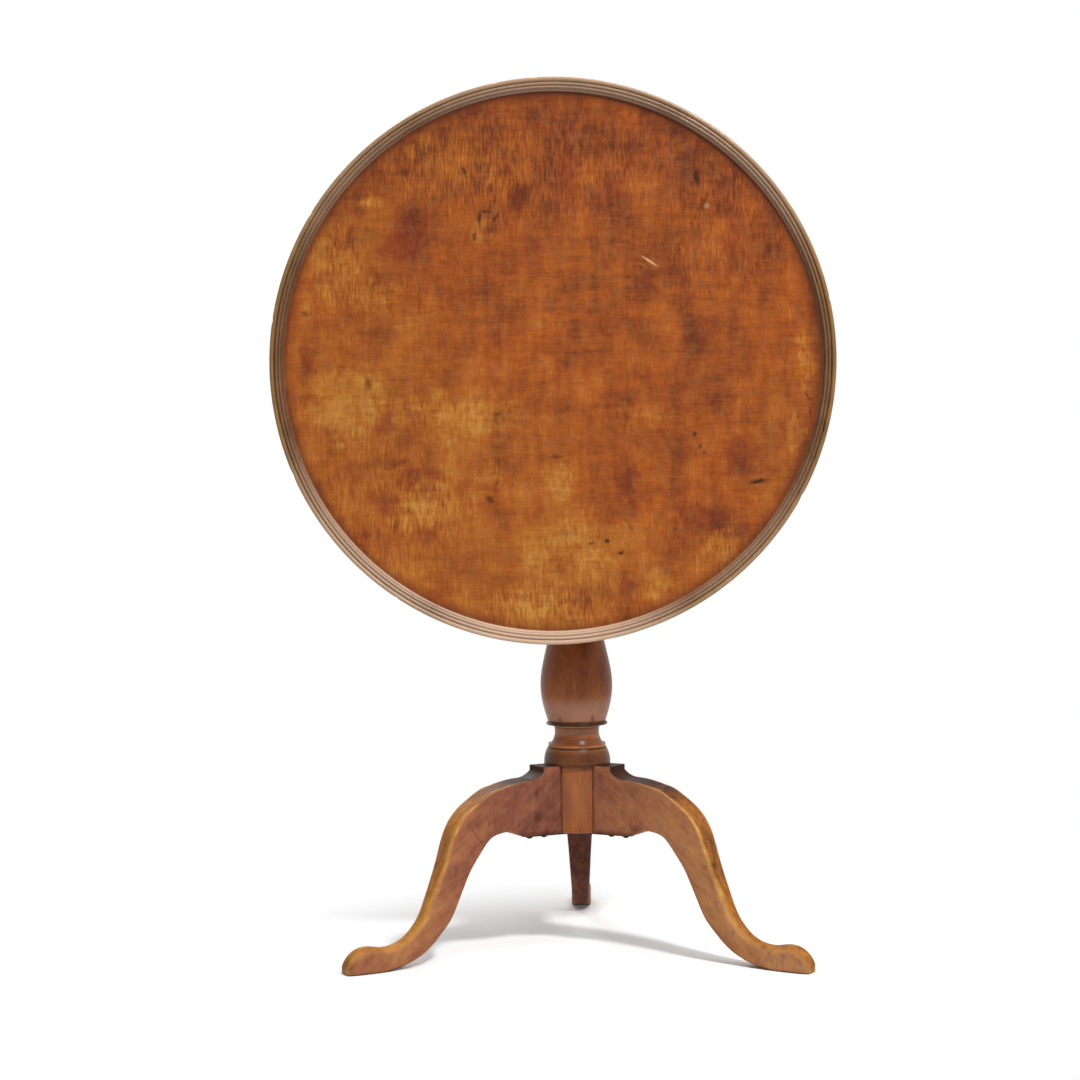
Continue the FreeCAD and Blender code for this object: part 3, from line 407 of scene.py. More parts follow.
@dataclass(frozen=True)
class FiguredMaple:
    """Figured maple, dished on a lathe and finished with old shellac.

    The eye gets an orange-brown board with golden and dark red clouds, fine upright curl across level
    grain, ink-dark bruises, and a dark red band beside the rim. Painted shade darkens the board along
    painted_shade_way, to offset how the lamps light it. Each reach is in millimetres from the rim, and
    dirt_and_shade is the strength at foot and head of the dirt and painted shade in the corner, deeper at
    the head where the rim shades the field.
    """

    centre: tuple[float, float, float]
    field_radius: float
    skin: Skin = Skin((0.32, 0.52), 0.08, 0.4, 0.15)
    painted_shade_way: tuple[float, float, float] = (0.5, 0.0, 0.87)
    painted_shade_range: tuple[float, float] = (0.05, -0.21)
    red_band_reach: float = 14.0
    red_band: float = 0.42
    dirt_and_shade_reach: float = 4.5
    dirt_and_shade: tuple[float, float] = (0.2, 0.62)

    def golden(self) -> tuple[Spot, ...]:
        """Where the shellac has worn thin and the wood shows golden."""
        return (
            Spot(-258, -46, 60, 48, 0.25), Spot(-95, -68, 72, 30, 0.21), Spot(-150, -178, 56, 38, 0.23),
            Spot(25, -238, 66, 48, 0.19), Spot(129, -274, 20, 22, 0.22), Spot(213, -230, 24, 26, 0.25),
            Spot(298, -92, 12, 27, 0.29), Spot(316, 0, 15, 45, 0.2), Spot(-8, -300, 75, 30, 0.18),
            Spot(-268, 126, 36, 54, 0.2), Spot(-172, -60, 52, 22, 0.18), Spot(-226, 84, 46, 24, 0.17),
            Spot(-224, 205, 12, 15, 0.18), Spot(-84, 159, 12, 17, 0.19), Spot(11, -146, 17, 37, 0.16),
            Spot(107, -70, 35, 22, 0.1), Spot(-141, -44, 15, 17, 0.18), Spot(-156, 265, 22, 25, 0.14),
            Spot(-75, 232, 12, 20, 0.18), Spot(-77, -138, 17, 25, 0.16),
        )

    def red(self) -> tuple[Spot, ...]:
        """Where old stain lies thick and dark red."""
        return (
            Spot(-181, 150, 30, 37, 0.22), Spot(-38, 202, 16, 14, 0.26), Spot(-301, 3, 11, 22, 0.24),
            Spot(23, 225, 10, 56, 0.17), Spot(72, 204, 37, 22, 0.11), Spot(117, 92, 16, 20, 0.17),
            Spot(-208, -75, 15, 17, 0.19), Spot(-198, -121, 22, 9, 0.22), Spot(-211, -173, 17, 22, 0.20),
            Spot(-161, -138, 37, 15, 0.13), Spot(-156, -213, 15, 11, 0.17), Spot(228, -117, 22, 30, 0.14),
            Spot(94, -154, 8, 42, 0.19), Spot(187, -193, 30, 20, 0.13), Spot(228, 150, 17, 50, 0.12),
            Spot(120, 304, 10, 10, 0.22), Spot(195, 40, 17, 17, 0.10), Spot(92, -279, 9, 14, 0.18),
            Spot(-233, 219, 15, 10, 0.08), Spot(-34, 132, 30, 25, 0.11),
        )

    def amber(self) -> tuple[Spot, ...]:
        """Where the shellac has mellowed from red to amber."""
        return (
            Spot(-225, -70, 130, 160, 0.5), Spot(-30, -265, 190, 90, 0.5), Spot(-245, 170, 80, 110, 0.42),
            Spot(-120, 250, 110, 60, 0.35), Spot(-60, -100, 110, 70, 0.3), Spot(280, -110, 50, 90, 0.3),
            Spot(200, -240, 70, 50, 0.3), Spot(60, 130, 150, 90, 0.12),
        )

    def curled(self) -> tuple[Spot, ...]:
        """Where the upright curl of the figure shows."""
        return (
            Spot(-40, 240, 230, 80, 1.0), Spot(-210, -190, 110, 130, 0.8), Spot(210, 170, 90, 110, 0.7),
            Spot(0, -300, 170, 40, 0.8), Spot(180, -220, 90, 60, 0.5), Spot(-260, 110, 50, 90, 0.5),
        )

    def stains(self) -> tuple[Spot, ...]:
        """Ink-dark knots, bruises and filled cracks."""
        return (
            Spot(181, 224, 4.5, 12, 0.9, -6), Spot(189, 192, 5, 10, 0.6), Spot(-106, 236, 3, 8, 0.85, -20),
            Spot(-88, 177, 2.6, 9, 0.8), Spot(-79, 186, 8, 2.4, 0.7), Spot(-68, 178, 2.6, 7, 0.7, 35),
            Spot(-74, 164, 9, 5, 0.4), Spot(-94, 155, 3.5, 6, 0.65), Spot(-36, 203, 16, 17, 0.4),
            Spot(-250, 155, 4, 20, 0.35, 15), Spot(-305, 63, 8, 4, 0.5), Spot(-163, 78, 2.5, 22, 0.3),
            Spot(-228, -25, 5, 9, 0.55, -10), Spot(-79, -170, 7, 4, 0.65, 30), Spot(4, -118, 10, 3, 0.55),
            Spot(253, -151, 13, 3, 0.9, -10), Spot(175, -92, 2.8, 3.5, 0.75), Spot(182, -107, 2.8, 4, 0.6),
            Spot(187, -115, 2.5, 2.5, 0.45), Spot(66, -223, 3.6, 3.4, 0.85), Spot(47, -225, 4, 2.6, 0.65),
            Spot(83, -237, 4.5, 2.8, 0.85, -20), Spot(-196, -200, 3, 11, 0.4), Spot(94, 103, 4, 2.5, 0.4),
            Spot(-178, 237, 6, 6, 0.3), Spot(94, -204, 1.8, 10, 0.4, -30),
            Spot(315, -47, 1.4, 13, 0.6, -32), Spot(318, -70, 1.5, 12, 0.55, 3),
        )

    def scratches(self) -> tuple[Spot, ...]:
        """Bare scratches that show pale wood."""
        return (
            Spot(122, 122, 12, 1.4, 0.8, 34), Spot(114, 117, 7, 1.2, 0.15, 34), Spot(193, 189, 4, 4, 0.3),
        )

    def shaded(self, tree: Tree, place: Socket, wood: Socket) -> Socket:
        """Darken the field beside the rim: a dark red band, and dirt and painted shade in the corner.

        Args:
            tree: The tree that takes the nodes.
            place: The place on the field, in millimetres.
            wood: The colour beneath.

        Returns:
            The darkened colour.
        """
        radius = from_axis(tree, place)
        red_band = add(tree, "MapRange", {
            "Value": radius, "From Min": self.field_radius - self.red_band_reach,
            "From Max": self.field_radius, "To Max": self.red_band,
        }, interpolation_type="SMOOTHSTEP")
        dirt_and_shade = add(tree, "MapRange", {
            "Value": add(tree, "SeparateXYZ", {0: place}, 2), "From Min": -self.field_radius,
            "From Max": self.field_radius, "To Min": self.dirt_and_shade[0], "To Max": self.dirt_and_shade[1],
        })
        dirt_and_shade = add(tree, "MapRange", {
            "Value": radius, "From Min": self.field_radius - self.dirt_and_shade_reach,
            "From Max": self.field_radius, "To Max": dirt_and_shade,
        })
        # A dark red band beside the rim. In the corner, dirt and painted shade, with the shade deepest at
        # the head.
        for share, colour in ((red_band, "#5a2412"), (dirt_and_shade, "#4c2110")):
            wood = add(tree, "Mix", {0: share, 6: wood, 7: colour}, 2, data_type="RGBA")
        return wood

    def material(self) -> bpy.types.Material:
        """Mix the finish.

        Returns:
            The material, for the dished field alone.
        """
        material, tree = new_material("figured_maple_old_shellac")
        place = millimetres(tree, self.centre)
        cloudy = nudged(tree, place, 26, 44)
        torn = nudged(tree, cloudy, 10, 16)
        ragged = nudged(tree, place, 5, 7)

        # The figure. Real pores and fibres are finer than the render shows, so they are drawn coarser.
        clouds = streaks(tree, place, (50, 60, 64), 3.1, 2.3, 4.0)
        blotch = streaks(tree, place, (30, 32, 42), 7.7, 3.0, 5.0)
        mottle = streaks(tree, place, (5.5, 7, 10), 2.7, 1.7, 3.0)
        board = streaks(tree, place, (11, 900, 170), 6.1, 1.6, 2.0)
        bars = streaks(tree, place, (60, 40, 9), 10.7, 1.7, 3.0)
        strokes = streaks(tree, place, (1.8, 30, 17), 1.3, 2.2, 2.0)
        level = streaks(tree, place, (20, 30, 2.3), 5.9, 2.0, 3.0)
        pores = streaks(tree, place, (16, 16, 0.9), 9.0, 2.5, 2.0)
        haze = streaks(tree, place, (9, 12, 14), 14.3, 2.2, 4.0)

        # How light the wood is, from 0 to 1: upright strokes where it is curled, level ones elsewhere.
        tone = weighed(tree, 0.48, (
            (clouds, 0.34), (blotch, 0.22), (mottle, 0.18), (board, 0.18), (bars, 0.22),
        ))
        patchy = weighed(tree, 0.0, ((blotch, 0.7), (bars, 0.7)))
        curl = add(tree, "Math", {0: spread(tree, cloudy, self.curled()), 1: patchy}, operation="ADD")
        for hatch, calm, curled in ((strokes, 0.08, 0.56), (level, 0.22, 0.06)):
            hatch = add(tree, "Math", {0: hatch, 1: -0.5}, operation="ADD")
            share = add(tree, "MapRange", {"Value": curl, "To Min": calm, "To Max": curled})
            tone = add(tree, "Math", {0: hatch, 1: share, 2: tone}, operation="MULTIPLY_ADD")
        # Painted shade: the board darkens towards the head and the right, to offset how the lamps light it.
        slant = add(tree, "VectorMath", {0: place, 1: self.painted_shade_way}, 1, operation="DOT_PRODUCT")
        painted_gradient = add(tree, "MapRange", {
            "Value": slant, "From Min": -self.field_radius, "From Max": self.field_radius,
            "To Min": self.painted_shade_range[0], "To Max": self.painted_shade_range[1],
        })
        uneven = weighed(tree, 1.1, ((mottle, 1.5), (strokes, 1.1), (bars, 1.1)))
        golden = add(tree, "Math", {0: spread(tree, torn, self.golden()), 1: uneven}, operation="MULTIPLY")
        golden = add(tree, "MapRange", {
            "Value": golden, "From Min": 0.03, "From Max": 0.25, "To Max": 0.22,
        })
        red = spread(tree, torn, self.red())
        for share, way in ((painted_gradient, "ADD"), (golden, "ADD"), (red, "SUBTRACT")):
            tone = add(tree, "Math", {0: tone, 1: share}, operation=way)

        # The colour: red-brown shellac, amber where it is thin, and what lies on it.
        wood = add(tree, "ValToRGB", {"Fac": tone}, stops=(
            (0.0, "#562716"), (0.2, "#793a18"), (0.38, "#914819"), (0.52, "#a0521b"), (0.72, "#ad6626"),
            (1.0, "#bd813f"),
        ))
        amber = add(tree, "ValToRGB", {"Fac": tone}, stops=(
            (0.0, "#4e2c17"), (0.2, "#6f431b"), (0.38, "#895a22"), (0.52, "#9c6324"), (0.72, "#ac722c"),
            (1.0, "#bf873e"),
        ))
        thin = add(tree, "Math", {0: spread(tree, torn, self.amber()), 1: clouds}, operation="MULTIPLY")
        thin = add(tree, "Math", {0: golden, 1: 1.7, 2: thin}, operation="MULTIPLY_ADD", use_clamp=True)
        for share, colour in (
            (thin, amber),
            (add(tree, "Math", {0: red, 1: 2.2}, operation="MULTIPLY"), "#86351a"),
            (add(tree, "MapRange", {"Value": haze, "From Min": 0.5, "To Max": 0.34}), "#8c5f38"),
            (spread(tree, ragged, self.stains()), "#2b150d"),
            (spread(tree, place, self.scratches()), "#dcb07c"),
        ):
            wood = add(tree, "Mix", {0: share, 6: wood, 7: colour}, 2, data_type="RGBA")
        height = weighed(tree, 0.5, ((pores, 0.4), (strokes, 0.6), (mottle, 0.5)))
        self.skin.lay(tree, self.shaded(tree, place, wood), blotch, height)
        return material


@dataclass(frozen=True)
class MouldedMaple:
    """The same maple on the moulded rim, touched bare by hands and waxed since.

    The eye gets grey-brown beads with golden crests, darker sunk lines, pale places that are painted
    highlights and partly wear, and a soft shine.
    """

    centre: tuple[float, float, float]
    cove_radius: float
    rim_radius: float
    skin: Skin = Skin((0.22, 0.42), 0.1, 0.35, 0.32)

    def rubbed_and_highlit(self) -> tuple[Spot, ...]:
        """Where the rim is painted pale, as highlights where the lamps catch it and partly as wear from
        hands: its foot and low left most, and its head and corners.
        """
        return (
            Spot(-10, -345, 190, 90, 0.72), Spot(-235, -250, 150, 150, 0.45),
            Spot(0, 345, 230, 90, 0.3), Spot(240, 245, 150, 150, 0.24),
            Spot(240, -245, 120, 120, 0.18), Spot(-245, 245, 120, 120, 0.16),
        )

    def material(self) -> bpy.types.Material:
        """Mix the finish.

        Returns:
            The material, for the rim from the field's edge to the underside.
        """
        material, tree = new_material("moulded_maple_waxed")
        place = millimetres(tree, self.centre)
        across = add(tree, "MapRange", {
            "Value": from_axis(tree, place), "From Min": self.cove_radius, "From Max": self.rim_radius,
        })
        # From the cove over the three beads and their sunk lines to the edge.
        wood = add(tree, "ValToRGB", {"Fac": across}, stops=(
            (0.0, "#67412c"), (0.12, "#6a462f"), (0.24, "#6d4a30"), (0.3, "#7d583a"), (0.36, "#845e40"),
            (0.43, "#805735"), (0.46, "#724e2e"), (0.5, "#7e5733"), (0.64, "#865d35"), (0.68, "#69482c"),
            (0.73, "#8c6334"), (0.9, "#9d7443"), (1.0, "#7d5629"),
        ))
        patch = streaks(tree, place, (30, 30, 30), 4.0, 1.8, 3.0)
        strokes = streaks(tree, place, (2.6, 40, 40), 1.3, 2.0, 2.0)
        grain = streaks(tree, place, (20, 20, 1.4), 9.0, 2.0, 2.0)
        dark = weighed(tree, 0.3, ((patch, 0.5), (strokes, 0.4)))
        edge = add(tree, "MapRange", {
            "Value": across, "From Min": 0.96, "From Max": 1.0, "To Min": 1.0, "To Max": 0.45,
        })
        # Painted highlights, partly wear: the rim is painted pale where the lamps catch it, less at its
        # very edge.
        pale = add(tree, "Math", {0: spread(tree, place, self.rubbed_and_highlit()), 1: edge}, operation="MULTIPLY")
        for share, colour in ((dark, "#332012"), (pale, "#d8b79c")):
            wood = add(tree, "Mix", {0: share, 6: wood, 7: colour}, 2, data_type="RGBA")
        self.skin.lay(tree, wood, patch, grain)
        return material


@dataclass(frozen=True)
class TurnedMaple:
    """Maple turned on the lathe, under old shellac.

    The eye gets a red-brown shaft with faint rings from the gouge, golden crests partly painted as
    highlights, a painted sheen low on the vase, and dark rings of painted shade and dirt. Over the heights
    that shade_and_grime names, the shaft darkens upwards: painted shade under the tilted top.
    """

    wear: Wear = Wear("#a8662c", "#251009")
    shade_and_grime: tuple[float, float] = (305.0, 350.0)
    skin: Skin = Skin((0.28, 0.46), 0.1, 0.35, 0.2)

    def hollows(self) -> tuple[Spot, ...]:
        """Dark rings at the collar, the hollow's foot, the quirk and the bulb: painted shade where the
        parts shade each other, partly dirt, with two drips.
        """
        return (
            Spot(0, 288.2, ALL_ROUND, 2.8, 0.92), Spot(0, 291.2, ALL_ROUND, 1.5, 0.6),
            Spot(0, 283.4, ALL_ROUND, 0.9, 0.4), Spot(0, 266, ALL_ROUND, 5.0, 0.4),
            Spot(0, 257.0, ALL_ROUND, 1.6, 0.85), Spot(0, 246, ALL_ROUND, 12, 0.64),
            Spot(0, 237.5, ALL_ROUND, 2.4, 0.75), Spot(-21, 294.5, 2.2, 6, 0.5),
            Spot(20.5, 295, 2.4, 7, 0.5),
        )

    def crests(self) -> tuple[Spot, ...]:
        """Rings painted pale as highlights: the fillet over the hollow and the band under it."""
        return (Spot(0, 285.0, ALL_ROUND, 1.0, 0.5), Spot(0, 260.0, ALL_ROUND, 0.9, 0.34))

    def painted_sheen(self) -> tuple[Spot, ...]:
        """A painted sheen for the pale floor's reflection: on the underside of the vase's swell, the hollow
        and the shaft's foot.
        """
        return (
            Spot(0, 305, ALL_ROUND, 17, 0.58), Spot(0, 277, ALL_ROUND, 5, 0.4),
            Spot(0, 195, ALL_ROUND, 40, 0.1),
        )

    def material(self) -> bpy.types.Material:
        """Mix the finish.

        Returns:
            The material, with its grain upright.
        """
        material, tree = new_material("turned_maple_old_shellac")
        place = millimetres(tree)
        clouds = streaks(tree, place, (26, 26, 60), 2.3, 1.7, 4.0)
        grain = streaks(tree, place, (2.0, 2.0, 60), 4.1, 1.9, 3.0)
        fleck = streaks(tree, place, (1.3, 1.3, 9), 8.3, 2.0, 2.0)
        rings = streaks(tree, place, (400, 400, 0.9), 3.3, 1.6, 2.0)
        tone = weighed(tree, 0.48, ((clouds, 0.46), (grain, 0.16), (fleck, 0.1)))
        # Painted shade: the shaft darkens upwards, where the tilted top shades it.
        painted_top_shade = add(tree, "MapRange", {
            "Value": add(tree, "SeparateXYZ", {0: place}, 2),
            "From Min": self.shade_and_grime[0], "From Max": self.shade_and_grime[1], "To Max": -0.22,
        }, interpolation_type="SMOOTHSTEP")
        tone = add(tree, "Math", {0: tone, 1: painted_top_shade}, operation="ADD")
        wood = add(tree, "ValToRGB", {"Fac": tone}, stops=(
            (0.05, "#582713"), (0.35, "#854721"), (0.6, "#a05d30"), (0.95, "#b4753e"),
        ))
        wood = self.wear.over(tree, wood, clouds)
        for share, colour in (
            # A painted sheen, standing for the floor's reflection.
            (spread(tree, nudged(tree, place, 14, 9), self.painted_sheen()), "#a67e6a"),
            # Dark rings of painted shade, partly dirt, and two drips.
            (spread(tree, place, self.hollows()), "#1f0e08"),
            # Painted highlights on the fillet and the band.
            (spread(tree, place, self.crests()), "#c9925c"),
        ):
            wood = add(tree, "Mix", {0: share, 6: wood, 7: colour}, 2, data_type="RGBA")
        self.skin.lay(tree, wood, clouds, weighed(tree, 0.5, ((grain, 0.5), (rings, 0.5))))
        return material


@dataclass(frozen=True)
class ShavedMaple:
    """Maple sawn to a cabriole curve and cleaned up with a spokeshave, under old shellac.

    The eye gets mauve-brown sides that lighten towards the foot, under a greyish haze that is partly a
    painted sheen, an outer face rubbed golden, pale arrises that are worn and partly painted highlights,
    and fine cracks along the grain. Each shade is painted light and shade for how the lamps light that leg:
    above zero it darkens the sides, the outer or the inner face, and below zero it lightens them. The pairs
    are stretches of the leg in millimetres, where a change begins and ends: upwards for the bracket's edge,
    and outward from the column's axis for the others. The grain slopes down by degrees.
    """

    name: str
    turn: float
    shade: float = 0.0
    outer_shade: float = 0.0
    inner_shade: float = 0.0
    marks: tuple[Spot, ...] = ()
    # The legs' rubbed edges are worn pale and partly painted highlights.
    wear: Wear = Wear("#e2b06a", "#2a130c", 7.0, rubbing=1.0)
    slope: float = 38.0
    joint: tuple[float, float] = (37.5, 34.0)
    bracket_edge: tuple[float, float] = (157.0, 150.0)
    bracket: tuple[float, float] = (104.0, 96.0)
    knee: tuple[float, float] = (76.0, 108.0)
    crown: tuple[float, float] = (95.0, 175.0)
    ankle: tuple[float, float] = (185.0, 255.0)
    foot: tuple[float, float] = (70.0, 230.0)
    arris_reach: float = 14.0
    skin: Skin = Skin((0.4, 0.58), 0.12, 0.35, 0.05)

    def faces(self, tree: Tree) -> tuple[Socket, ...]:
        """Tell the leg's faces apart by the way that they look.

        Args:
            tree: The tree that takes the nodes.

        Returns:
            Masks of the outer face, of the arrises beside it, and of the painted shade on the inner face.
        """
        # On the outer and inner faces side is 0, and on the flat sides it is 1.
        normal = add(tree, "VectorRotate", {
            "Vector": add(tree, "TexCoord", out="Normal"), "Angle": -math.radians(self.turn),
        }, rotation_type="Z_AXIS")
        side = add(tree, "Math", {0: add(tree, "SeparateXYZ", {0: normal}, 1)}, operation="ABSOLUTE")
        face = add(tree, "MapRange", {"Value": side, "From Min": 0.94, "From Max": 0.55})
        facing = add(tree, "VectorMath", {0: normal, 1: (0.75, 0, 0.66)}, 1, operation="DOT_PRODUCT")
        facing = add(tree, "MapRange", {"Value": facing, "From Min": 0.05, "From Max": 0.35})
        arris = add(tree, "MapRange", {"Value": side, "From Min": 0.2, "From Max": 0.55})
        turned = add(tree, "MapRange", {"Value": side, "From Min": 0.985, "From Max": 0.86})
        arris = add(tree, "Math", {0: arris, 1: turned}, operation="MULTIPLY")
        outward = add(tree, "SeparateXYZ", {0: normal}, 0)
        return (
            add(tree, "Math", {0: face, 1: facing}, operation="MULTIPLY"),
            add(tree, "Math", {0: arris, 1: facing}, operation="MULTIPLY"),
            add(tree, "MapRange", {
                "Value": outward, "From Min": -0.15, "From Max": -0.5, "To Max": self.inner_shade,
            }),
        )

    def shade_and_grime(self, tree: Tree, plan: Socket) -> Socket:
        """Find the dirt in the joint with the column, and the painted shade along the bracket's lower edge.

        Args:
            tree: The tree that takes the nodes.
            plan: The place on the leg: outward, sideways and up, in millimetres.

        Returns:
            The strength of the dirt and of the painted shade.
        """
        outward = add(tree, "SeparateXYZ", {0: plan}, 0)
        up = add(tree, "SeparateXYZ", {0: plan}, 2)
        joint = add(tree, "MapRange", {
            "Value": outward, "From Min": self.joint[0], "From Max": self.joint[1], "To Max": 0.6,
        })
        under = add(tree, "MapRange", {
            "Value": up, "From Min": self.bracket_edge[0], "From Max": self.bracket_edge[1], "To Max": 0.7,
        })
        inner = add(tree, "MapRange", {
            "Value": outward, "From Min": self.bracket[0], "From Max": self.bracket[1],
        })
        under = add(tree, "Math", {0: under, 1: inner}, operation="MULTIPLY")
        return add(tree, "Math", {0: joint, 1: under}, operation="MAXIMUM")

    def material(self) -> bpy.types.Material:
        """Mix the finish.

        Returns:
            The material, with its grain along the leg.
        """
        material, tree = new_material(self.name)
        plan = millimetres(tree, turn=(0, 0, self.turn))
        place = millimetres(tree, turn=(0, self.slope, self.turn))
        outward = add(tree, "SeparateXYZ", {0: plan}, 0)
        face, arris, inner = self.faces(tree)
        clouds = streaks(tree, place, (55, 24, 24), 2.3, 1.7, 4.0)
        grain = streaks(tree, place, (50, 2.4, 2.4), 4.1, 1.9, 3.0)
        mottle = streaks(tree, plan, (8, 8, 11), 8.3, 1.8, 3.0)
        haze = streaks(tree, plan, (6, 6, 9), 15.1, 2.2, 4.0)
        film = streaks(tree, place, (34, 9, 9), 12.1, 2.2, 3.0)
        rub = streaks(tree, place, (24, 14, 14), 6.7, 2.2, 3.0)

        # The sides, lighter towards the foot.
        # shade and inner_shade are painted light and shade on this leg's sides and inner face.
        tone = weighed(tree, 0.38 - self.shade, ((clouds, 0.5), (grain, 0.14), (mottle, 0.2)))
        worn = add(tree, "MapRange", {
            "Value": outward, "From Min": self.foot[0], "From Max": self.foot[1], "To Max": 0.32,
        })
        tone = add(tree, "Math", {0: tone, 1: worn}, operation="ADD")
        tone = add(tree, "Math", {0: tone, 1: inner}, operation="SUBTRACT")
        wood = add(tree, "ValToRGB", {"Fac": tone}, stops=(
            (0.0, "#4b3028"), (0.2, "#6b4035"), (0.42, "#8a533f"), (0.66, "#a36a46"), (0.9, "#b78050"),
        ))
        haze = add(tree, "MapRange", {"Value": haze, "From Min": 0.45, "To Max": 0.9})
        haze = add(tree, "Math", {0: haze, 1: tone}, operation="MULTIPLY")

        # The outer face, dark on the crown of the knee and rubbed bright beyond it, along its edges most,
        # where the brightness is partly a painted highlight. outer_shade lightens or darkens it as painted
        # light and shade.
        edge = add(tree, "AmbientOcclusion", {"Distance": self.arris_reach * MM}, 1,
                   samples=OCCLUSION_SAMPLES, inside=True, only_local=True)
        edge = add(tree, "MapRange", {"Value": edge, "From Min": 0.72, "From Max": 0.4, "To Min": 0.25})
        beyond = add(tree, "MapRange", {
            "Value": outward, "From Min": self.knee[0], "From Max": self.knee[1],
        })
        edge = add(tree, "Math", {0: edge, 1: beyond}, operation="MULTIPLY")
        rubbed = weighed(tree, 0.2 - self.outer_shade, ((clouds, 0.4), (mottle, 0.35)))
        rubbed = add(tree, "Math", {0: edge, 1: 0.95, 2: rubbed}, operation="MULTIPLY_ADD")
        crown = add(tree, "MapRange", {
            "Value": outward, "From Min": self.crown[0], "From Max": self.crown[1],
            "To Min": 0.46, "To Max": 0.0,
        })
        rubbed = add(tree, "Math", {0: rubbed, 1: crown}, operation="SUBTRACT")
        golden = add(tree, "ValToRGB", {"Fac": rubbed}, stops=(
            (0.0, "#351a09"), (0.2, "#744318"), (0.45, "#a5682c"), (0.7, "#bd833f"), (1.0, "#daad6c"),
        ))

        # The arrises, worn pale and partly painted as highlights, between the knee and the ankle.
        hold = weighed(tree, 0.75 - self.shade, ((clouds, 0.5), (mottle, 0.3)))
        hold = add(tree, "Math", {0: hold, 1: beyond}, operation="MULTIPLY")
        fade = add(tree, "MapRange", {
            "Value": outward, "From Min": self.ankle[0], "From Max": self.ankle[1],
            "To Min": 1.0, "To Max": 0.25,
        })
        for share in (hold, rub, fade):
            arris = add(tree, "Math", {0: arris, 1: share}, operation="MULTIPLY")

        # The layers, one on the other.
        for share, colour in (
            # A greyish haze: the wood's own tone, and partly a painted sheen.
            (haze, "#946858"),
            (face, golden),
            (add(tree, "MapRange", {"Value": film, "From Min": 0.45, "To Max": 0.3}), "#5c3018"),
            (spread(tree, nudged(tree, plan, 6, 3), self.marks), "#2c140d"),
            # Pale arrises: wear, and painted highlights.
            (arris, "#d9a55c"),
        ):
            wood = add(tree, "Mix", {0: share, 6: wood, 7: colour}, 2, data_type="RGBA")
        # Worn edges with painted highlights, and dirt and painted shade in the corners.
        wood = self.wear.over(tree, wood, hold)
        # Dirt in the joint with the column, and painted shade under the bracket's lower edge.
        wood = add(tree, "Mix", {0: self.shade_and_grime(tree, plan), 6: wood, 7: "#25110b"}, 2, data_type="RGBA")
        self.skin.lay(tree, wood, clouds, weighed(tree, 0.5, ((grain, 0.6), (mottle, 0.6))))
        return material


@dataclass(frozen=True)
class BareMaple:
    """Maple left unpolished under the top, sawn and planed by hand.

    The eye gets a dry, dull brown with open grain, plane ridges, corners darkened by dirt and painted
    shade, and rubbed edges.
    """

    name: str
    grain: Grain
    wear: Wear = Wear("#a07b50", "#1f140c", 3.0)
    skin: Skin = Skin((0.62, 0.82), 0.3, 0.5, ior=1.45)

    def along(self, wide: float, longer: float) -> tuple[float, ...]:
        """Size a mark in millimetres: wide across the grain, and longer by so much along it."""
        return tuple(wide + longer * way for way in self.grain.value)

    def material(self) -> bpy.types.Material:
        """Mix the finish.

        Returns:
            The material, with its grain the way that the piece was cut.
        """
        material, tree = new_material(self.name)
        place = millimetres(tree)
        grain = streaks(tree, place, self.along(1.8, 70), 2.0, 2.0, 3.0)
        bands = streaks(tree, place, self.along(16, 120), 6.0, 1.8, 3.0)
        blot = streaks(tree, place, (60, 60, 60), 9.0, 2.0, 4.0)
        planed = streaks(tree, place, self.along(9, 300), 4.0, 1.6, 1.0)
        tone = weighed(tree, 0.45, ((grain, 0.4), (bands, 0.5), (blot, 0.4)))
        wood = add(tree, "ValToRGB", {"Fac": tone}, stops=(
            (0.0, "#3d2717"), (0.3, "#5e3e26"), (0.6, "#7c5837"), (1.0, "#9a754d"),
        ))
        wood = self.wear.over(tree, wood, bands)
        self.skin.lay(tree, wood, grain, weighed(tree, 0.5, ((grain, 0.5), (planed, 1.0))))
        return material


@dataclass(frozen=True)
class AgedMetal:
    """Old metal under a skin of its own oxide.

    The eye gets hammer or file marks, dark skin in the hollows and brighter metal on the high spots. File
    marks are finer than the render shows, so they are drawn coarser.
    """

    name: str
    dark: str
    bright: str
    crust: str
    mark_size: float
    skin: Skin

    def material(self) -> bpy.types.Material:
        """Mix the finish.

        Returns:
            The material.
        """
        material, tree = new_material(self.name)
        place = millimetres(tree)
        marks = streaks(tree, place, (self.mark_size,) * 3, 3.0, 1.8, 3.0)
        oxide = streaks(tree, place, (self.mark_size * 3,) * 3, 8.0, 2.2, 4.0)
        crusted = add(tree, "MapRange", {"Value": oxide, "From Min": 0.55, "From Max": 0.9, "To Max": 0.7})
        metal: Any = self.dark
        for share, colour in ((marks, self.bright), (crusted, self.crust)):
            metal = add(tree, "Mix", {0: share, 6: metal, 7: colour}, 2, data_type="RGBA")
        self.skin.lay(tree, metal, oxide, marks)
        return material


def dress(node: str, material: bpy.types.Material) -> None:
    """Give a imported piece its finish.

    Args:
        node: The piece's name.
        material: Its finish.
    """
    piece = frame["nodes"][node]
    piece.data.materials.clear()
    piece.data.materials.append(material)
    LOG.info("%s: %s", node, material.name)


class Side(Enum):
    """The parts of the dished top that differ in finish, by material index."""

    FIELD = 0
    RIM = 1
    UNDER = 2


@dataclass(frozen=True)
class Nick:
    """A small dent in the rim's edge: its bearing in degrees, and millimetres along and into the edge."""

    bearing: float
    length: float
    depth: float


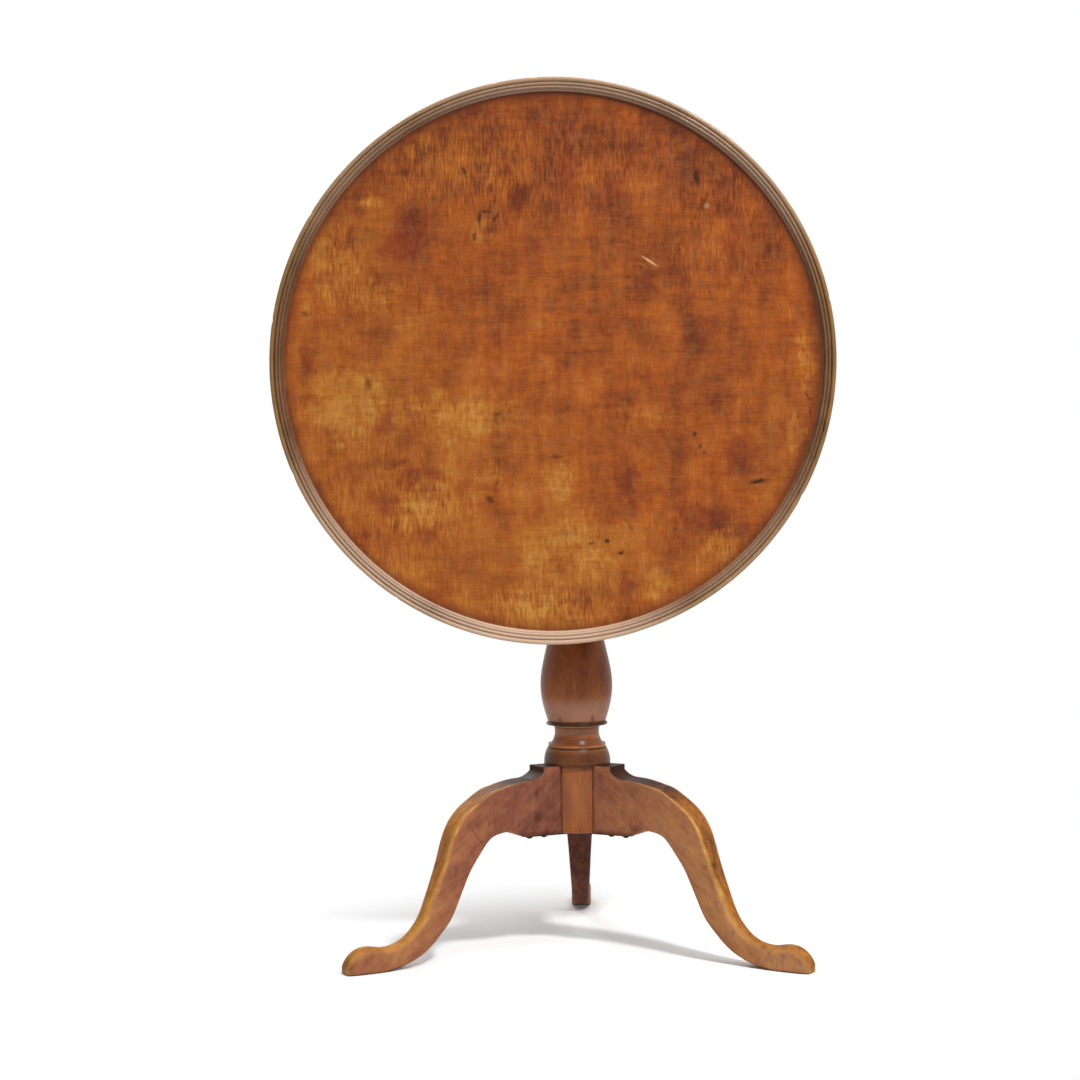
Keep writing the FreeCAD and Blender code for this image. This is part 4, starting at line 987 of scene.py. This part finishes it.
@dataclass
class TrayTop:
    """The dished top, with its battens: one turned board, worn along its moulded edge.

    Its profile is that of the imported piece, so only the wear takes wood away from it. Sizes are in
    millimetres, and crease is the angle in degrees past which an edge stays sharp.
    """

    field_drop: float = 8.0
    bead_widths: tuple[float, ...] = (5.6, 3.6, 3.0)
    bead_drops: tuple[float, ...] = (0.0, 0.8, 2.0)
    quirk_width: float = 0.7
    quirk_depth: float = 0.5
    cove_width: float = 4.6
    cove_sag: float = 1.1
    bevel_width: float = 30.0
    bevel_rise: float = 7.0
    edge_round: float = 3.0
    under_rings: int = 8
    edge_steps: int = 4
    bead_steps: int = 8
    cove_steps: int = 6
    cove_rim_steps: int = 3
    field_rings: int = 16
    segments: int = 720
    crease: float = 38.0
    crest_wear: float = 0.35
    crest_reach: float = 3.0
    crest_patch: float = 14.0
    field_wave: float = 0.3
    wave_length: float = 75.0
    wave_fade: float = 12.0
    field_margin: float = 0.1
    nick_reach: float = 4.0
    nick_height: float = 9.0
    nicks: tuple[Nick, ...] = (
        Nick(12, 3.0, 0.6), Nick(57, 2.5, 0.5), Nick(93, 4.0, 0.5), Nick(101, 2.2, 0.7),
        Nick(148, 3.5, 0.6), Nick(171, 2.5, 0.8), Nick(203, 5.0, 0.7), Nick(236, 2.5, 0.6),
        Nick(279, 3.0, 0.5), Nick(331, 4.5, 0.7),
    )

    def __post_init__(self) -> None:
        """Read the top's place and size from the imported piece, in millimetres."""
        low, high = (Vector(corner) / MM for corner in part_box("tray_top"))
        self.middle = (low + high) / 2
        self.radius = (high.x - low.x) / 2
        self.thickness = high.y - low.y
        self.under_y = high.y

    def field_radius(self) -> float:
        """Where the flat field ends and the rim's cove begins."""
        return self.radius - sum(width + self.quirk_width for width in self.bead_widths) - self.cove_width

    def profile(self) -> list[tuple[float, float, Side]]:
        """Trace the turned profile, from the middle of the underside round the rim to the field's middle.

        Returns:
            Radius and height over the underside in millimetres, and the finish of what follows.
        """
        bevel = self.radius - self.bevel_width
        points = [(bevel * i / self.under_rings, 0.0, Side.UNDER) for i in range(self.under_rings + 1)]
        for i in range(self.edge_steps + 1):
            angle = math.pi / 2 * i / self.edge_steps
            points.append((
                self.radius - self.edge_round * (1 - math.sin(angle)),
                self.bevel_rise + self.edge_round * (1 - math.cos(angle)), Side.RIM,
            ))
        radius = self.radius
        for width, drop in zip(self.bead_widths, self.bead_drops):
            half = width / 2
            foot = self.thickness - drop - half
            for i in range(self.bead_steps + 1):
                angle = math.pi * i / self.bead_steps
                points.append((
                    radius - half * (1 - math.cos(angle)), foot + half * math.sin(angle), Side.RIM,
                ))
            points.append((radius - width, foot - self.quirk_depth, Side.RIM))
            radius -= width + self.quirk_width
            points.append((radius, foot - self.quirk_depth, Side.RIM))
        start = Vector((radius, points[-1][1]))
        end = Vector((radius - self.cove_width, self.thickness - self.field_drop))
        out = Vector((end.y - start.y, start.x - end.x)).normalized() * -self.cove_sag
        for i in range(1, self.cove_steps + 1):
            share = i / self.cove_steps
            place = start.lerp(end, share) + out * (4 * share * (1 - share))
            points.append((place.x, place.y, Side.RIM if i <= self.cove_rim_steps else Side.FIELD))
        for i in range(1, self.field_rings + 1):
            points.append((end.x * (1 - i / self.field_rings), end.y, Side.FIELD))
        return points

    def worn(self, radius: float, height: float, angle: float) -> tuple[float, float]:
        """Wear a point of the profile.

        Args:
            radius: The point's distance from the axis, in millimetres.
            height: Its height over the underside.
            angle: Its bearing round the axis, in radians.

        Returns:
            The worn radius and height.
        """
        spot = Vector((radius * math.cos(angle), radius * math.sin(angle), 0))
        if radius < self.field_radius() + self.field_margin and height > self.thickness / 2:
            fade = max(0.0, min(1.0, (self.field_radius() - radius) / self.wave_fade))
            return radius, height - self.field_wave * fade * (0.5 + noise.noise(spot / self.wave_length))
        crest = max(0.0, height - (self.thickness - self.crest_reach)) / self.crest_reach
        height -= crest * self.crest_wear * max(0.0, 0.4 + noise.noise(spot / self.crest_patch))
        above = min(1.0, max(0.0, height - self.bevel_rise) / self.nick_height)
        for nick in self.nicks:
            along = (angle - math.radians(nick.bearing) + math.pi) % (2 * math.pi) - math.pi
            bite = nick.depth * math.exp(-(along * self.radius / nick.length) ** 2)
            radius -= bite * above * max(0.0, 1 - (self.radius - radius) / self.nick_reach)
        return radius, height

    def build(self) -> None:
        """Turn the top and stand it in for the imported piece."""
        profile = self.profile()
        points: list[tuple[float, float, float]] = []
        rings: list[list[int]] = []
        for radius, height, _ in profile:
            count = self.segments if radius else 1
            ring = []
            for i in range(count):
                angle = 2 * math.pi * i / self.segments
                wide, deep = self.worn(radius, height, angle)
                ring.append(len(points))
                points.append((
                    (self.middle.x + wide * math.cos(angle)) * MM,
                    (self.under_y - deep) * MM,
                    (self.middle.z + wide * math.sin(angle)) * MM,
                ))
            rings.append(ring)
        faces: list[tuple[int, ...]] = []
        sides: list[int] = []
        for (first, second), (_, _, side) in zip(zip(rings, rings[1:]), profile):
            for i in range(self.segments):
                j = (i + 1) % self.segments
                around = ((first, i), (first, j), (second, j), (second, i))
                faces.append(tuple(dict.fromkeys(ring[k % len(ring)] for ring, k in around)))
                sides.append(side.value)
        mesh = bpy.data.meshes.new("tray_top_turned")
        mesh.from_pydata(points, [], faces)
        field_y = self.under_y - self.thickness + self.field_drop
        centre = (self.middle.x * MM, field_y * MM, self.middle.z * MM)
        for finish in (
            FiguredMaple(centre, self.field_radius()),
            MouldedMaple(centre, self.field_radius(), self.radius),
            BareMaple("planed_maple_underside", Grain.ACROSS),
        ):
            mesh.materials.append(finish.material())
        mesh.polygons.foreach_set("material_index", sides)
        mesh.shade_smooth()
        mesh.set_sharp_from_angle(angle=math.radians(self.crease))
        piece = put_in_scene("tray_top_turned", mesh)
        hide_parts("tray_top")
        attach(piece, Body.TOP.value)
        LOG.info("tray_top: turned with %d faces", len(faces))

    def dress(self) -> None:
        """Finish the top's pieces."""
        self.build()
        bare = BareMaple("planed_maple_battens", Grain.UPRIGHT).material()
        for node in ("left_batten", "right_batten"):
            dress(node, bare)


@dataclass
class Stand:
    """The turned column on its three legs, with the block and its wedge.

    The marks are cracks, stains and darker toes, placed outward and up along each front leg.
    """

    left_marks: tuple[Spot, ...] = (
        Spot(155, 157, 1.1, 20, 0.38, 38), Spot(139, 172, 1.1, 9, 0.35, 5), Spot(70, 204, 5, 5, 0.35),
        Spot(69, 174, 7, 9, 0.35), Spot(330, 14, 13, 26, 0.42),
    )
    right_marks: tuple[Spot, ...] = (
        Spot(120, 192, 1.1, 16, 0.26, 12), Spot(96, 160, 8, 6, 0.25), Spot(330, 14, 8, 26, 0.3),
    )

    def dress(self) -> None:
        """Finish the stand's pieces."""
        dress("column", TurnedMaple().material())
        # Each leg's shades are painted light and shade for how the lamps light that leg.
        for finish, node in (
            (ShavedMaple("shaved_maple_rear_leg", 90, 0.06, inner_shade=0.42), "rear_leg"),
            (ShavedMaple("shaved_maple_left_leg", 210, 0.06, -0.06, marks=self.left_marks), "left_leg"),
            (ShavedMaple("shaved_maple_right_leg", 330, -0.17, 0.1, marks=self.right_marks), "right_leg"),
        ):
            dress(node, finish.material())
        bare = BareMaple("planed_maple_block", Grain.ACROSS).material()
        for node in ("tilt_block", "tenon_wedge"):
            dress(node, bare)


@dataclass
class Metalwork:
    """The iron and brass fittings."""

    iron: AgedMetal = AgedMetal(
        "forged_iron", "#1d1a18", "#3a3531", "#4a2f20", 4.0, Skin((0.4, 0.7), 0.15, 0.5, metallic=0.75),
    )
    brass: AgedMetal = AgedMetal(
        "tarnished_brass", "#7a5c2c", "#b08d4c", "#4b3a20", 3.0, Skin((0.25, 0.55), 0.15, 0.5, metallic=1),
    )

    def dress(self) -> None:
        """Finish the iron and the brass."""
        iron = self.iron.material()
        brass = self.brass.material()
        for row in frame["record"]["subparts"]:
            if row["material_slot"] == Slot.IRON.value:
                dress(row["node"], iron)
            elif row["material_slot"] == Slot.BRASS.value:
                dress(row["node"], brass)


@dataclass
class Lamp:
    """A soft box: where it hangs, what it is aimed at and its size in metres, and its power in watts."""

    name: str
    place: tuple[float, float, float]
    aim: tuple[float, float, float]
    size: float
    power: float

    def light(self) -> None:
        """Hang the lamp."""
        data = bpy.data.lights.new(self.name, "AREA")
        data.shape = "SQUARE"
        data.size = self.size
        data.energy = self.power
        lamp = put_in_scene(self.name, data)
        lamp.location = self.place
        lamp.rotation_euler = (Vector(self.aim) - Vector(self.place)).to_track_quat("-Z", "Y").to_euler()


@dataclass
class Studio:
    """The pale floor, the soft light and the camera, in metres and degrees.

    The floor keeps its shadow out to the first distance of fade and is plain white from the second.
    """

    floor_size: float = 30.0
    fade: tuple[float, float] = (0.22, 0.5)
    fade_centre: tuple[float, float, float] = (0.03, 0.0, 0.0)
    camera_place: tuple[float, float, float] = (0.0343, -2.6002, 0.5548)
    camera_pitch: float = -0.679
    camera_roll: float = 0.648
    camera_yaw: float = 1.734
    focal_length: float = 67.29
    sensor_width: float = 36.0
    ambient: float = 0.43

    def seen(self, tree: Tree) -> Socket:
        """Tell the rays that show the backdrop from the rays that light the object.

        Args:
            tree: The tree that takes the nodes.

        Returns:
            1 for camera, glossy and transmission rays.
        """
        seen = add(tree, "LightPath", out="Is Camera Ray")
        for ray in ("Is Glossy Ray", "Is Transmission Ray"):
            seen = add(tree, "Math", {0: seen, 1: add(tree, "LightPath", out=ray)}, operation="MAXIMUM")
        return seen

    def lay_floor(self) -> None:
        """Lay a pale floor that keeps the object's shadow and melts into the white backdrop further out."""
        half = self.floor_size / 2
        mesh = bpy.data.meshes.new("floor")
        corners = [(-half, -half, 0), (half, -half, 0), (half, half, 0), (-half, half, 0)]
        mesh.from_pydata(corners, [], [(0, 1, 2, 3)])
        floor = put_in_scene("floor", mesh)
        material, tree = new_material("pale_floor")
        plain = add(tree, "BsdfDiffuse", {"Color": "#e6e6e6"})
        shaded = add(tree, "BsdfDiffuse", {"Color": "#ffffff"})
        spot = add(tree, "TexCoord", out="Object")
        away = add(tree, "VectorMath", {0: spot, 1: self.fade_centre}, 1, operation="DISTANCE")
        far = add(tree, "MapRange", {
            "Value": away, "From Min": self.fade[0], "From Max": self.fade[1],
        }, interpolation_type="SMOOTHSTEP")
        white = add(tree, "Emission", {"Color": "#ffffff", "Strength": 1.0})
        shown = add(tree, "MixShader", {0: far, 1: shaded, 2: white})
        add_output(tree, add(tree, "MixShader", {0: self.seen(tree), 1: plain, 2: shown}))
        mesh.materials.append(material)

    def light(self) -> None:
        """Hang the lamps and set the world behind them."""
        for lamp in (
            Lamp("key_softbox", (1.6, -2.5, 3.8), (0, 0, 0.45), 0.5, 136),
            Lamp("overhead_softbox", (0.45, -0.4, 2.6), (0, 0, 0.2), 1.0, 19),
            Lamp("rear_fill", (-1.3, 2.9, 2.4), (0, 0, 0.6), 1.6, 40),
        ):
            lamp.light()
        world = bpy.data.worlds.new("white_backdrop")
        world.use_nodes = True
        tree = world.node_tree
        tree.nodes.clear()
        soft = add(tree, "Background", {"Color": "#ffffff", "Strength": self.ambient})
        white = add(tree, "Background", {"Color": "#ffffff", "Strength": 1.0})
        mixed = add(tree, "MixShader", {0: self.seen(tree), 1: soft, 2: white})
        tree.links.new(mixed, tree.nodes.new("ShaderNodeOutputWorld").inputs["Surface"])
        bpy.context.scene.world = world

    def place_camera(self) -> None:
        """Stand the camera where the photograph was taken from."""
        data = bpy.data.cameras.new("camera")
        data.lens = self.focal_length
        data.sensor_width = self.sensor_width
        camera = put_in_scene("camera", data)
        camera.location = self.camera_place
        camera.rotation_mode = "XYZ"
        camera.rotation_euler = (
            math.radians(90 + self.camera_pitch),
            math.radians(self.camera_roll),
            math.radians(self.camera_yaw),
        )
        bpy.context.scene.camera = camera

    def set_up(self) -> None:
        """Make the whole studio."""
        bpy.context.scene.view_settings.view_transform = "Standard"
        self.lay_floor()
        self.light()
        self.place_camera()


def main() -> None:
    """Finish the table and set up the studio."""
    logging.basicConfig(level=logging.INFO, format="%(name)s %(message)s")
    for assembly in (TrayTop(), Stand(), Metalwork()):
        assembly.dress()
    Studio().set_up()


if __name__ == "__main__":
    main()
